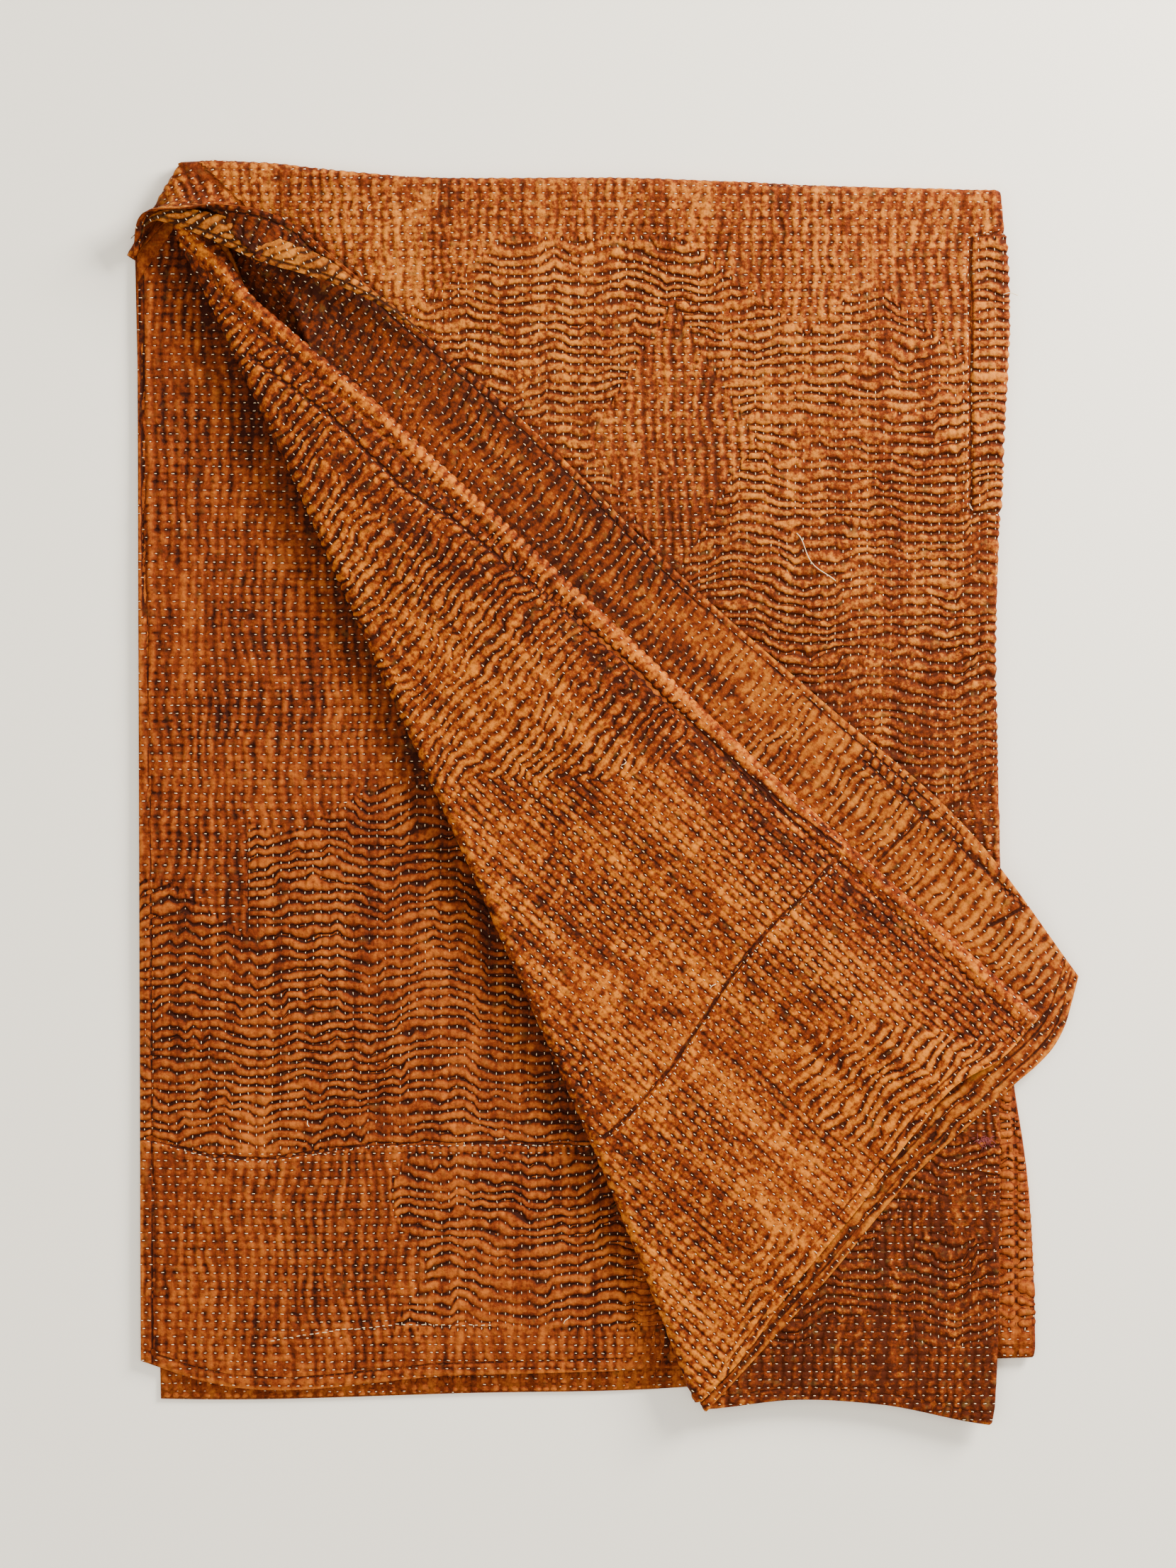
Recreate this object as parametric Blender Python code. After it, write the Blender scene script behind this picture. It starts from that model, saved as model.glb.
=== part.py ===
"""A quilted cotton throw, folded in half both ways, with its upper pair of layers turned back.

Lengths in the tables are millimetres, and the part is built in metres with +Z up.
X runs across the folded stack, and Y runs along it towards the fold over its top edge.
The sheet is doubled at the right edge, then doubled again over the top edge.
That gives four layers: the lower pair, and the upper pair, whose left part is turned over to the right.
"""
import math

import bpy
import numpy as np

MM = 0.001

# Cloth
THICKNESS = 2.4
LAYER_PITCH = 3.8
HALF_PITCH = LAYER_PITCH / 2
BOTTOM_LEVEL = THICKNESS / 2

# Fold over the top edge, seen from the side
FOLD_LEVEL = BOTTOM_LEVEL + 1.5 * LAYER_PITCH
PAIR_RADIUS = LAYER_PITCH
FOLD_REACH = PAIR_RADIUS + HALF_PITCH + THICKNESS / 2

# Middle of the folded throw's box, as the tables have it, which the part puts at X = Y = 0
BOX_MIDDLE = (-0.86, -0.68, 0.0)

# Unevenness of the stack, as shares of a place's height: its mean, a wave and a slanted wave.
# Each wave has its length over one radian, and the angle at which it starts.
SWELL_MEAN = 0.112
SWELL_WAVE = 0.096
SLANTED_WAVE = 0.058
WAVE_ACROSS = 64.7
WAVE_ALONG = 76.7
WAVE_SLANTED = 41.8
ACROSS_START = 1.3
ALONG_START = -0.6
SLANTED_START = 0.4

# The turned corner hangs over the right edge and droops
DROOP_START = 316.0
DROOP_RATE = 0.0023

# Steps of the mesh along the sheet and across it
UPPER_ROWS = 26
FOLD_ROWS = 4
LOWER_ROWS = 8
ROLL_STEPS = 5
PANEL_STEPS = 7
FLAT_STEPS = 10
EDGE_STEPS = 4
MARGIN_STEPS = 2
ROW_CROWDING = 1.45

# Upper outer layer: where it starts to turn (fold), its side hem, and how it turns there.
# Along is the share of the way from the top fold down to the end hem.
OUTER_COLUMNS = ("along", "fold_x", "fold_y", "hem_x", "hem_y", "hem_z", "heading", "turn", "roll")
OUTER_TURN = (
    (0.00, -339, 507, -382, 433, 12.6, 238, 0, 22),
    (0.03, -325, 498, -375, 464, 25.0, 226, 26, 24),
    (0.07, -306, 487, -335, 470, 36.0, 214, 58, 25),
    (0.10, -294, 474, -309, 472, 43.0, 208, 86, 29),
    (0.13, -284, 454, -275, 467, 43.0, 205, 120, 34),
    (0.16, -271, 428, -246, 455, 36.0, 204, 160, 30),
    (0.185, -252, 400, -226, 438, 29.0, 204, 176, 14),
    (0.21, -238, 360, -206, 422, 23.0, 204, 180, 7.5),
    (0.28, -227, 240, -150, 375, 18.5, 204, 180, 7),
    (0.34, -203, 173, -103, 334, 17.6, 204, 180, 7),
    (0.40, -180, 112, -56, 292, 17.0, 204, 180, 7),
    (0.55, -111, -39, 56, 181, 16.6, 204, 180, 7),
    (0.70, -44, -190, 173, 77, 16.6, 204, 180, 7),
    (0.85, 21, -341, 291, -26, 16.6, 204, 180, 7),
    (1.00, 84, -501, 386, -150, 16.8, 204, 180, 7),
)

# Upper inner layer: the same turn, then the ridge where its margin is turned under, and its hem.
INNER_COLUMNS = ("along", "fold_x", "fold_y", "ridge_x", "ridge_y", "ridge_z", "hem_x", "hem_y", "hem_z",
                 "heading", "turn", "roll", "tuck", "tuck_roll")
INNER_TURN = (
    (0.00, -336, 504, -358, 470, 8.8, -380, 436, 8.8, 238, 0, 10, 0, 9),
    (0.03, -336, 482, -349, 469, 11.6, -355, 463, 12.6, 226, 20, 12.5, 0, 5),
    (0.045, -338, 470, -346, 464, 18.0, -346, 465, 22.5, 218, 70, 13, 0, 2),
    (0.06, -340, 457, -341, 459, 23.0, -333, 468, 26.0, 212, 125, 16, 10, 5),
    (0.09, -325, 424, -317, 434, 25.5, -308, 446, 21.5, 204, 180, 20, 55, 9),
    (0.13, -305, 384, -292, 401, 25.5, -290, 405, 17.0, 204, 180, 21, 115, 8),
    (0.17, -286, 344, -263, 376, 25.5, -274, 363, 20.0, 204, 180, 21, 180, 8),
    (0.26, -243, 253, -196, 320, 25.2, -221, 291, 20.0, 204, 180, 21, 180, 8),
    (0.34, -207, 172, -137, 264, 25.0, -164, 231, 20.2, 204, 180, 21, 180, 8),
    (0.40, -180, 112, -94, 225, 25.0, -122, 191, 20.4, 204, 180, 20, 180, 8),
    (0.55, -111, -39, 17, 122, 25.0, -13, 88, 20.4, 204, 180, 20, 180, 8),
    (0.70, -44, -190, 127, 17, 25.0, 97, -17, 20.4, 204, 180, 20, 180, 8),
    (0.85, 21, -341, 237, -83, 25.6, 208, -117, 21.2, 204, 180, 20, 180, 8),
    (1.00, 80, -492, 350, -184, 26.4, 321, -216, 22.0, 204, 180, 20, 180, 8),
)

# How far the end hems bulge past the straight line from fold to side, by share of the way across
BOW_COLUMNS = ("across", "outer", "inner")
END_BOW = (
    (0.00, 0, 0),
    (0.12, 2, 2),
    (0.30, 4, -5),
    (0.55, 3, -8),
    (0.75, 14, -14),
    (0.90, 20, -14),
    (1.00, 0, 0),
)
BOW_GROWTH = 9

# From this share of the way down, the turned layer lies flat under the ridge and only then rises to its hem
FLAT_FROM = 0.2
LATE_RISE = 2
LATE_GROWTH = 4

# Where the stack's corners at the right are measured: on the top fold, and on the end hems of both pairs
TOP_CORNER_X = 322.0
UPPER_CORNER_X = 316.0
LOWER_CORNER_X = 350.0

# How fast a lower layer's columns take up the right edge's own line towards that edge
EDGE_GROWTH = 4

# The top fold's slanted left end: where it starts, over what length, and how far it turns the fold's bulge
SLANT_START = -318.0
SLANT_LENGTH = 30.0
SLANT_LEFT = 0.87
SLANT_DOWN = 0.52

# Least angle of a bend, in radians, and least width of a strip, which keep divisions by zero out
LEAST_BEND = 1e-4
LEAST_WIDTH = 1e-6

# Edges of the stack in plan: the top fold by x, and the right folds of both pairs by y
TOP_COLUMNS = ("x", "y")
TOP_EDGE = ((-340, 514), (-300, 513), (-169, 501), (30, 499), (178, 493), (322, 489))
RIGHT_COLUMNS = ("y", "upper", "lower")
RIGHT_EDGE = (
    (-514, 316, 352),
    (-430, 320, 351),
    (-306, 321, 344),
    (-235, 321, 333),
    (-43, 321, 320),
    (128, 318, 317),
    (276, 323, 322),
    (406, 328, 326),
    (489, 322, 322),
)

# End hems of the four layers in plan, by x
HEM_COLUMNS = ("x", "upper_outer", "upper_inner", "lower_outer", "lower_inner")
END_HEMS = (
    (-380, -500, -492, -494, -462),
    (-325, -500, -492, -495, -480),
    (-117, -500, -492, -490, -475),
    (86, -503, -490, -483, -469),
    (156, -495, -492, -474, -467),
    (224, -498, -490, -462, -465),
    (322, -514, -470, -441, -461),
    (352, -514, -466, -436, -460),
)

# Left ends of the lower layers' end hems
LOWER_OUTER_LEFT = -361.0
LOWER_INNER_LEFT = -377.0

CLOTH_COLOR = (0.40, 0.13, 0.035, 1.0)
CLOTH_ROUGHNESS = 0.9


def column(table, names, name):
    """One named column of a table."""
    place = names.index(name)
    return np.array([row[place] for row in table], dtype=float)


def smooth_read(table, names, key, name, where):
    """Read a column at a place on a smooth curve through the table's rows."""
    keys = column(table, names, key)
    values = column(table, names, name)
    slopes = np.gradient(values, keys)
    where = min(max(where, keys[0]), keys[-1])
    step = min(int(np.searchsorted(keys, where, side="right")) - 1, len(keys) - 2)
    span = keys[step + 1] - keys[step]
    s = (where - keys[step]) / span
    start = (2 * s ** 3 - 3 * s ** 2 + 1) * values[step] + (s ** 3 - 2 * s ** 2 + s) * span * slopes[step]
    end = (3 * s ** 2 - 2 * s ** 3) * values[step + 1] + (s ** 3 - s ** 2) * span * slopes[step + 1]
    return start + end


def station(table, names, along):
    """All the columns of a turn table at one place down the fold, by name."""
    return {name: smooth_read(table, names, "along", name, along) for name in names}


def top_edge(x):
    """Centre line of the fold over the top edge."""
    return smooth_read(TOP_EDGE, TOP_COLUMNS, "x", "y", x) - FOLD_REACH


def right_edge(pair, y):
    """Centre line of a pair's fold at the right."""
    return smooth_read(RIGHT_EDGE, RIGHT_COLUMNS, "y", pair, y) - HALF_PITCH - THICKNESS / 2


def end_hem(layer, x):
    """A layer's end hem in plan."""
    return smooth_read(END_HEMS, HEM_COLUMNS, "x", layer, x)


def roll(start, heading, turn, length):
    """Points of a strip that leaves start level and curls upward through turn degrees, evenly spaced."""
    bend = max(math.radians(turn), LEAST_BEND)
    radius = length / bend
    outward = np.array((math.cos(math.radians(heading)), math.sin(math.radians(heading)), 0.0))
    upward = np.array((0.0, 0.0, 1.0))
    angles = [bend * step / ROLL_STEPS for step in range(ROLL_STEPS + 1)]
    return [start + outward * radius * math.sin(a) + upward * radius * (1 - math.cos(a)) for a in angles]


def panel(start, end, lateness, steps):
    """Points from start to end in plan, after start, that reach the end's height sooner or later."""
    points = []
    for step in range(1, steps + 1):
        share = step / steps
        point = start + (end - start) * share
        point[2] = start[2] + (end[2] - start[2]) * share ** lateness
        points.append(point)
    return points


def tuck(edge, across, slope, turn, length):
    """Points, after the edge's first, of a margin that rolls over and under through turn degrees."""
    bend = max(math.radians(turn), LEAST_BEND)
    radius = length / bend
    points = []
    for step in range(1, EDGE_STEPS + 1):
        angle = slope - bend * step / EDGE_STEPS
        point = edge + across * radius * (math.sin(slope) - math.sin(angle))
        point[2] = edge[2] + radius * (math.cos(angle) - math.cos(slope))
        points.append(point)
    return points


def bow(layer, share, along):
    """How far an end hem lies outside the straight line across the turned part."""
    return smooth_read(END_BOW, BOW_COLUMNS, "across", layer, share) * along ** BOW_GROWTH


def bowed(points, fold, layer, along):
    """Push a turned row's points out along the fold so that the end hem has its outline."""
    reach = max(float(np.linalg.norm((points[-1] - fold)[:2])), 1.0)
    across = (points[-1] - fold)[:2] / reach
    outward = np.array((across[1], -across[0], 0.0))
    moved = []
    for point in points:
        share = min(max(float(np.dot((point - fold)[:2], across)) / reach, 0.0), 1.0)
        moved.append(point + outward * bow(layer, share, along))
    return moved


def outer_turned_row(along):
    """Upper outer layer from its fold to its side hem."""
    s = station(OUTER_TURN, OUTER_COLUMNS, along)
    fold = np.array((s["fold_x"], s["fold_y"], layer_level(3)))
    hem = np.array((s["hem_x"], s["hem_y"], s["hem_z"]))
    curl = roll(fold, s["heading"], s["turn"], s["roll"])
    lateness = 1 + LATE_RISE * min(along / FLAT_FROM, 1.0) ** LATE_GROWTH
    flat = panel(curl[-1], hem, lateness, PANEL_STEPS)
    return [curl[0]] + bowed(curl[1:] + flat, fold, "outer", along)


def inner_turned_row(along):
    """Upper inner layer from its fold, over the ridge, to its tucked side hem."""
    s = station(INNER_TURN, INNER_COLUMNS, along)
    fold = np.array((s["fold_x"], s["fold_y"], layer_level(2)))
    ridge = np.array((s["ridge_x"], s["ridge_y"], s["ridge_z"]))
    hem = np.array((s["hem_x"], s["hem_y"], s["hem_z"]))
    curl = roll(fold, s["heading"], s["turn"], s["roll"])
    flat = panel(curl[-1], ridge, 1, PANEL_STEPS)
    rise = ridge[2] - curl[-1][2]
    across = (ridge - curl[-1]) * (1, 1, 0)
    width = max(float(np.linalg.norm(across)), LEAST_WIDTH)
    over = tuck(ridge, across / width, math.atan2(rise, width), s["tuck"], s["tuck_roll"])
    margin = panel(over[-1], hem, 1, MARGIN_STEPS)
    return [curl[0]] + bowed(curl[1:] + flat + over + margin, fold, "inner", along)


def layer_level(layer):
    """Height of a layer's middle, counted from the lowest one."""
    return BOTTOM_LEVEL + layer * LAYER_PITCH


def upper_flat_row(layer, fold, along):
    """A layer of the upper pair from its turned part's fold to the right fold, after its first point."""
    right_y = (1 - along) * top_edge(TOP_CORNER_X) + along * end_hem(layer, UPPER_CORNER_X)
    right_x = right_edge("upper", right_y)
    points = []
    for step in range(1, FLAT_STEPS + 1):
        share = step / FLAT_STEPS
        x = (1 - share) * fold[0] + share * right_x
        straight = (1 - share) * fold[1] + share * right_y
        first = fold[0]
        line_top = top_edge(x) - ((1 - share) * top_edge(first) + share * top_edge(right_x))
        line_end = end_hem(layer, x) - ((1 - share) * end_hem(layer, first) + share * end_hem(layer, right_x))
        y = straight + (1 - along) * line_top + along * line_end
        points.append(np.array((x, y, fold[2])))
    return points


def lower_row(top_points, layer, left_x, level, down):
    """A row of the lower pair: each column runs from the top fold straight to the end hem."""
    right_x = right_edge("lower", end_hem(layer, LOWER_CORNER_X))
    first_x = top_points[0][0]
    last_x = top_points[-1][0]
    points = []
    for top in top_points:
        share = (top[0] - first_x) / (last_x - first_x)
        end_x = left_x + share * (right_x - left_x)
        x = (1 - down) * top[0] + down * end_x
        y = (1 - down) * top[1] + down * end_hem(layer, end_x)
        edge_x = right_edge("lower", y)
        plain_x = (1 - down) * last_x + down * right_x
        x = x + (edge_x - plain_x) * share ** EDGE_GROWTH
        points.append(np.array((x, y, level)))
    return points


def join_layers(outer, inner, middle_level, flip):
    """One row of the sheet: outer layer, the fold at the right, inner layer."""
    centre = (outer[-1] + inner[-1]) / 2
    radius = HALF_PITCH
    half_y = (outer[-1] - inner[-1])[1] / 2
    arc = []
    for step in range(1, EDGE_STEPS):
        angle = math.pi * step / EDGE_STEPS
        x = centre[0] + radius * math.sin(angle)
        z = middle_level + flip * radius * math.cos(angle)
        arc.append(np.array((x, centre[1] + half_y * math.cos(angle), z)))
    return outer + arc + inner[::-1]


def upper_row(along):
    """A row of the upper pair, from the outer layer's side hem to the inner layer's."""
    turned_outer = outer_turned_row(along)
    turned_inner = inner_turned_row(along)
    outer = turned_outer[::-1] + upper_flat_row("upper_outer", turned_outer[0], along)
    inner = turned_inner[::-1] + upper_flat_row("upper_inner", turned_inner[0], along)
    return join_layers(outer, inner, (layer_level(3) + layer_level(2)) / 2, 1)


def split_columns():
    """How many columns each layer has."""
    outer = PANEL_STEPS + ROLL_STEPS + 1 + FLAT_STEPS
    inner = outer + EDGE_STEPS + MARGIN_STEPS
    return outer, inner


def bottom_row(first_row, down):
    """A row of the lower pair, with the same columns as the upper pair's first row."""
    outer_count, inner_count = split_columns()
    outer_top = first_row[:outer_count]
    inner_top = first_row[-inner_count:][::-1]
    outer = lower_row(outer_top, "lower_outer", LOWER_OUTER_LEFT, layer_level(0), down)
    inner = lower_row(inner_top, "lower_inner", LOWER_INNER_LEFT, layer_level(1), down)
    return join_layers(outer, inner, (layer_level(0) + layer_level(1)) / 2, -1)


def outward_over_top(point):
    """Which way the fold over the top edge bulges: up the page, and to the left at its slanted end."""
    slant = min(max((SLANT_START - point[0]) / SLANT_LENGTH, 0.0), 1.0)
    direction = np.array((-SLANT_LEFT * slant, 1.0 - SLANT_DOWN * slant, 0.0))
    return direction / np.linalg.norm(direction)


def top_fold_row(first_row, turn):
    """A row on the fold over the top edge; turn is 0 at the upper pair and pi at the lower one."""
    points = []
    for point in first_row:
        radius = point[2] - FOLD_LEVEL
        moved = point + outward_over_top(point) * radius * math.sin(turn)
        moved[2] = FOLD_LEVEL + radius * math.cos(turn)
        points.append(moved)
    return points


def folded_grid():
    """The middle surface of the whole sheet as rows of points."""
    shares = [(step / UPPER_ROWS) ** ROW_CROWDING for step in range(UPPER_ROWS + 1)]
    upper = [upper_row(share) for share in reversed(shares)]
    first = upper[-1]
    over = [top_fold_row(first, math.pi * step / FOLD_ROWS) for step in range(1, FOLD_ROWS)]
    lower = [bottom_row(first, step / LOWER_ROWS) for step in range(LOWER_ROWS + 1)]
    return np.array(upper + over + lower)


def settle(grid):
    """Make the stack uneven in height, and let the turned corner droop past the right edge."""
    x = grid[..., 0]
    y = grid[..., 1]
    wave = np.sin(x / WAVE_ACROSS + ACROSS_START) * np.cos(y / WAVE_ALONG + ALONG_START)
    slanted = np.sin((x + y) / WAVE_SLANTED + SLANTED_START)
    height = grid[..., 2] - BOTTOM_LEVEL
    grid[..., 2] += height * (SWELL_MEAN + SWELL_WAVE * wave + SLANTED_WAVE * slanted)
    past = np.clip(x - DROOP_START, 0, None)
    high = np.clip((grid[..., 2] - layer_level(2)) / LAYER_PITCH, 0, 1)
    grid[..., 2] -= DROOP_RATE * past ** 2 * high
    return grid


def grid_normals(grid):
    """Unit normals of a grid of points, by central differences."""
    down = np.gradient(grid, axis=0)
    across = np.gradient(grid, axis=1)
    normals = np.cross(down, across)
    return normals / np.linalg.norm(normals, axis=-1, keepdims=True)


def sheet_mesh(name, grid):
    """Close a grid into a sheet of the cloth's thickness."""
    rows, columns = grid.shape[:2]
    offset = grid_normals(grid) * THICKNESS / 2
    points = np.concatenate(((grid + offset).reshape(-1, 3), (grid - offset).reshape(-1, 3)))
    points = (points - np.array(BOX_MIDDLE)) * MM
    far = rows * columns
    faces = []
    for row in range(rows - 1):
        for place in range(columns - 1):
            a = row * columns + place
            b = a + 1
            c = a + columns + 1
            d = a + columns
            faces.append((a, d, c, b))
            faces.append((far + a, far + b, far + c, far + d))
    rim = [(row * columns, (row + 1) * columns) for row in range(rows - 1)]
    rim += [((rows - 1) * columns + place, (rows - 1) * columns + place + 1) for place in range(columns - 1)]
    rim += [((row + 1) * columns - 1, row * columns - 1) for row in range(rows - 1, 0, -1)]
    rim += [(place + 1, place) for place in range(columns - 2, -1, -1)]
    faces += [(a, far + a, far + b, b) for a, b in rim]
    mesh = bpy.data.meshes.new(name)
    mesh.from_pydata([tuple(point) for point in points], [], faces)
    mesh.update()
    mesh.shade_smooth()
    return mesh


def cloth_material():
    """Overdyed quilted cotton, plain here."""
    material = bpy.data.materials.new("quilted_cotton")
    material.use_nodes = True
    shader = material.node_tree.nodes["Principled BSDF"]
    shader.inputs["Base Color"].default_value = CLOTH_COLOR
    shader.inputs["Roughness"].default_value = CLOTH_ROUGHNESS
    shader.inputs["Metallic"].default_value = 0.0
    return material


def build_throw():
    """The throw as one closed sheet, the part's only node."""
    mesh = sheet_mesh("throw", settle(folded_grid()))
    mesh.materials.append(cloth_material())
    throw = bpy.data.objects.new("throw", mesh)
    bpy.context.scene.collection.objects.link(throw)


for old in list(bpy.data.objects):
    bpy.data.objects.remove(old, do_unlink=True)
build_throw()
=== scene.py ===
"""The looks of the folded throw: puckered quilted cotton, running stitches, hems, seams and patch.

The cloth is folded by the same tables and functions as the part, with finer steps.
Lengths in tables and functions are millimetres, and the pieces are built in metres.
"""
import math

import bmesh
import bpy
import numpy as np
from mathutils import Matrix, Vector


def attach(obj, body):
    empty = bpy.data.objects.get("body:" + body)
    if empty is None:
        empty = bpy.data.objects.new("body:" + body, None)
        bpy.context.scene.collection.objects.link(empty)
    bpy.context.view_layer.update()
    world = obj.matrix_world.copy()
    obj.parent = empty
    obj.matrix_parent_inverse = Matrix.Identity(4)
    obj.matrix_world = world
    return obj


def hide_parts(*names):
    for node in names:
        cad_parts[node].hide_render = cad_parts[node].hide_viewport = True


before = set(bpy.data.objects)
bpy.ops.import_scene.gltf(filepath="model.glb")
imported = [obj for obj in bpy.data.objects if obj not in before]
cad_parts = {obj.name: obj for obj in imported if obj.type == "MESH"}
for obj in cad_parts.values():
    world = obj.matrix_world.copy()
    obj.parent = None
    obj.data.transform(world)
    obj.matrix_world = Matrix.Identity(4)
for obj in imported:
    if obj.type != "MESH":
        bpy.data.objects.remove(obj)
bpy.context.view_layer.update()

MM = 0.001

# Cloth
THICKNESS = 2.4
LAYER_PITCH = 3.8
HALF_PITCH = LAYER_PITCH / 2
BOTTOM_LEVEL = THICKNESS / 2

# Fold over the top edge, seen from the side
FOLD_LEVEL = BOTTOM_LEVEL + 1.5 * LAYER_PITCH
PAIR_RADIUS = LAYER_PITCH
FOLD_REACH = PAIR_RADIUS + HALF_PITCH + THICKNESS / 2

# Middle of the folded throw's box, as the tables have it, which the part puts at X = Y = 0
BOX_MIDDLE = (-0.86, -0.68, 0.0)

# Unevenness of the stack, as shares of a place's height: its mean, a wave and a slanted wave.
# Each wave has its length over one radian, and the angle at which it starts.
SWELL_MEAN = 0.112
SWELL_WAVE = 0.096
SLANTED_WAVE = 0.058
WAVE_ACROSS = 64.7
WAVE_ALONG = 76.7
WAVE_SLANTED = 41.8
ACROSS_START = 1.3
ALONG_START = -0.6
SLANTED_START = 0.4

# The turned corner hangs over the right edge and droops
DROOP_START = 316.0
DROOP_RATE = 0.0023

# Steps of the mesh along the sheet and across it
UPPER_ROWS = 96
FOLD_ROWS = 8
LOWER_ROWS = 40
ROLL_STEPS = 10
PANEL_STEPS = 24
FLAT_STEPS = 28
EDGE_STEPS = 8
MARGIN_STEPS = 4
ROW_CROWDING = 1.3

# Upper outer layer: where it starts to turn (fold), its side hem, and how it turns there.
# Along is the share of the way from the top fold down to the end hem.
OUTER_COLUMNS = ("along", "fold_x", "fold_y", "hem_x", "hem_y", "hem_z", "heading", "turn", "roll")
OUTER_TURN = (
    (0.00, -339, 507, -382, 433, 12.6, 238, 0, 22),
    (0.03, -325, 498, -375, 464, 25.0, 226, 26, 24),
    (0.07, -306, 487, -335, 470, 36.0, 214, 58, 25),
    (0.10, -294, 474, -309, 472, 43.0, 208, 86, 29),
    (0.13, -284, 454, -275, 467, 43.0, 205, 120, 34),
    (0.16, -271, 428, -246, 455, 36.0, 204, 160, 30),
    (0.185, -252, 400, -226, 438, 29.0, 204, 176, 14),
    (0.21, -238, 360, -206, 422, 23.0, 204, 180, 7.5),
    (0.28, -227, 240, -150, 375, 18.5, 204, 180, 7),
    (0.34, -203, 173, -103, 334, 17.6, 204, 180, 7),
    (0.40, -180, 112, -56, 292, 17.0, 204, 180, 7),
    (0.55, -111, -39, 56, 181, 16.6, 204, 180, 7),
    (0.70, -44, -190, 173, 77, 16.6, 204, 180, 7),
    (0.85, 21, -341, 291, -26, 16.6, 204, 180, 7),
    (1.00, 84, -501, 386, -150, 16.8, 204, 180, 7),
)

# Upper inner layer: the same turn, then the ridge where its margin is turned under, and its hem.
INNER_COLUMNS = ("along", "fold_x", "fold_y", "ridge_x", "ridge_y", "ridge_z", "hem_x", "hem_y", "hem_z",
                 "heading", "turn", "roll", "tuck", "tuck_roll")
INNER_TURN = (
    (0.00, -336, 504, -358, 470, 8.8, -380, 436, 8.8, 238, 0, 10, 0, 9),
    (0.03, -336, 482, -349, 469, 11.6, -355, 463, 12.6, 226, 20, 12.5, 0, 5),
    (0.045, -338, 470, -346, 464, 18.0, -346, 465, 22.5, 218, 70, 13, 0, 2),
    (0.06, -340, 457, -341, 459, 23.0, -333, 468, 26.0, 212, 125, 16, 10, 5),
    (0.09, -325, 424, -317, 434, 25.5, -308, 446, 21.5, 204, 180, 20, 55, 9),
    (0.13, -305, 384, -292, 401, 25.5, -290, 405, 17.0, 204, 180, 21, 115, 8),
    (0.17, -286, 344, -263, 376, 25.5, -274, 363, 20.0, 204, 180, 21, 180, 8),
    (0.26, -243, 253, -196, 320, 25.2, -221, 291, 20.0, 204, 180, 21, 180, 8),
    (0.34, -207, 172, -137, 264, 25.0, -164, 231, 20.2, 204, 180, 21, 180, 8),
    (0.40, -180, 112, -94, 225, 25.0, -122, 191, 20.4, 204, 180, 20, 180, 8),
    (0.55, -111, -39, 17, 122, 25.0, -13, 88, 20.4, 204, 180, 20, 180, 8),
    (0.70, -44, -190, 127, 17, 25.0, 97, -17, 20.4, 204, 180, 20, 180, 8),
    (0.85, 21, -341, 237, -83, 25.6, 208, -117, 21.2, 204, 180, 20, 180, 8),
    (1.00, 80, -492, 350, -184, 26.4, 321, -216, 22.0, 204, 180, 20, 180, 8),
)

# How far the end hems bulge past the straight line from fold to side, by share of the way across
BOW_COLUMNS = ("across", "outer", "inner")
END_BOW = (
    (0.00, 0, 0),
    (0.12, 2, 2),
    (0.30, 4, -5),
    (0.55, 3, -8),
    (0.75, 14, -14),
    (0.90, 20, -14),
    (1.00, 0, 0),
)
BOW_GROWTH = 9

# From this share of the way down, the turned layer lies flat under the ridge and only then rises to its hem
FLAT_FROM = 0.2
LATE_RISE = 2
LATE_GROWTH = 4

# Where the stack's corners at the right are measured: on the top fold, and on the end hems of both pairs
TOP_CORNER_X = 322.0
UPPER_CORNER_X = 316.0
LOWER_CORNER_X = 350.0

# How fast a lower layer's columns take up the right edge's own line towards that edge
EDGE_GROWTH = 4

# The top fold's slanted left end: where it starts, over what length, and how far it turns the fold's bulge
SLANT_START = -318.0
SLANT_LENGTH = 30.0
SLANT_LEFT = 0.87
SLANT_DOWN = 0.52

# Least angle of a bend, in radians, and least width of a strip, which keep divisions by zero out
LEAST_BEND = 1e-4
LEAST_WIDTH = 1e-6

# Edges of the stack in plan: the top fold by x, and the right folds of both pairs by y
TOP_COLUMNS = ("x", "y")
TOP_EDGE = ((-340, 514), (-300, 513), (-169, 501), (30, 499), (178, 493), (322, 489))
RIGHT_COLUMNS = ("y", "upper", "lower")
RIGHT_EDGE = (
    (-514, 316, 352),
    (-430, 320, 351),
    (-306, 321, 344),
    (-235, 321, 333),
    (-43, 321, 320),
    (128, 318, 317),
    (276, 323, 322),
    (406, 328, 326),
    (489, 322, 322),
)

# End hems of the four layers in plan, by x
HEM_COLUMNS = ("x", "upper_outer", "upper_inner", "lower_outer", "lower_inner")
END_HEMS = (
    (-380, -500, -492, -494, -462),
    (-325, -500, -492, -495, -480),
    (-117, -500, -492, -490, -475),
    (86, -503, -490, -483, -469),
    (156, -495, -492, -474, -467),
    (224, -498, -490, -462, -465),
    (322, -514, -470, -441, -461),
    (352, -514, -466, -436, -460),
)

# Left ends of the lower layers' end hems
LOWER_OUTER_LEFT = -361.0
LOWER_INNER_LEFT = -377.0


def column(table, names, name):
    """One named column of a table."""
    place = names.index(name)
    return np.array([row[place] for row in table], dtype=float)


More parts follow.
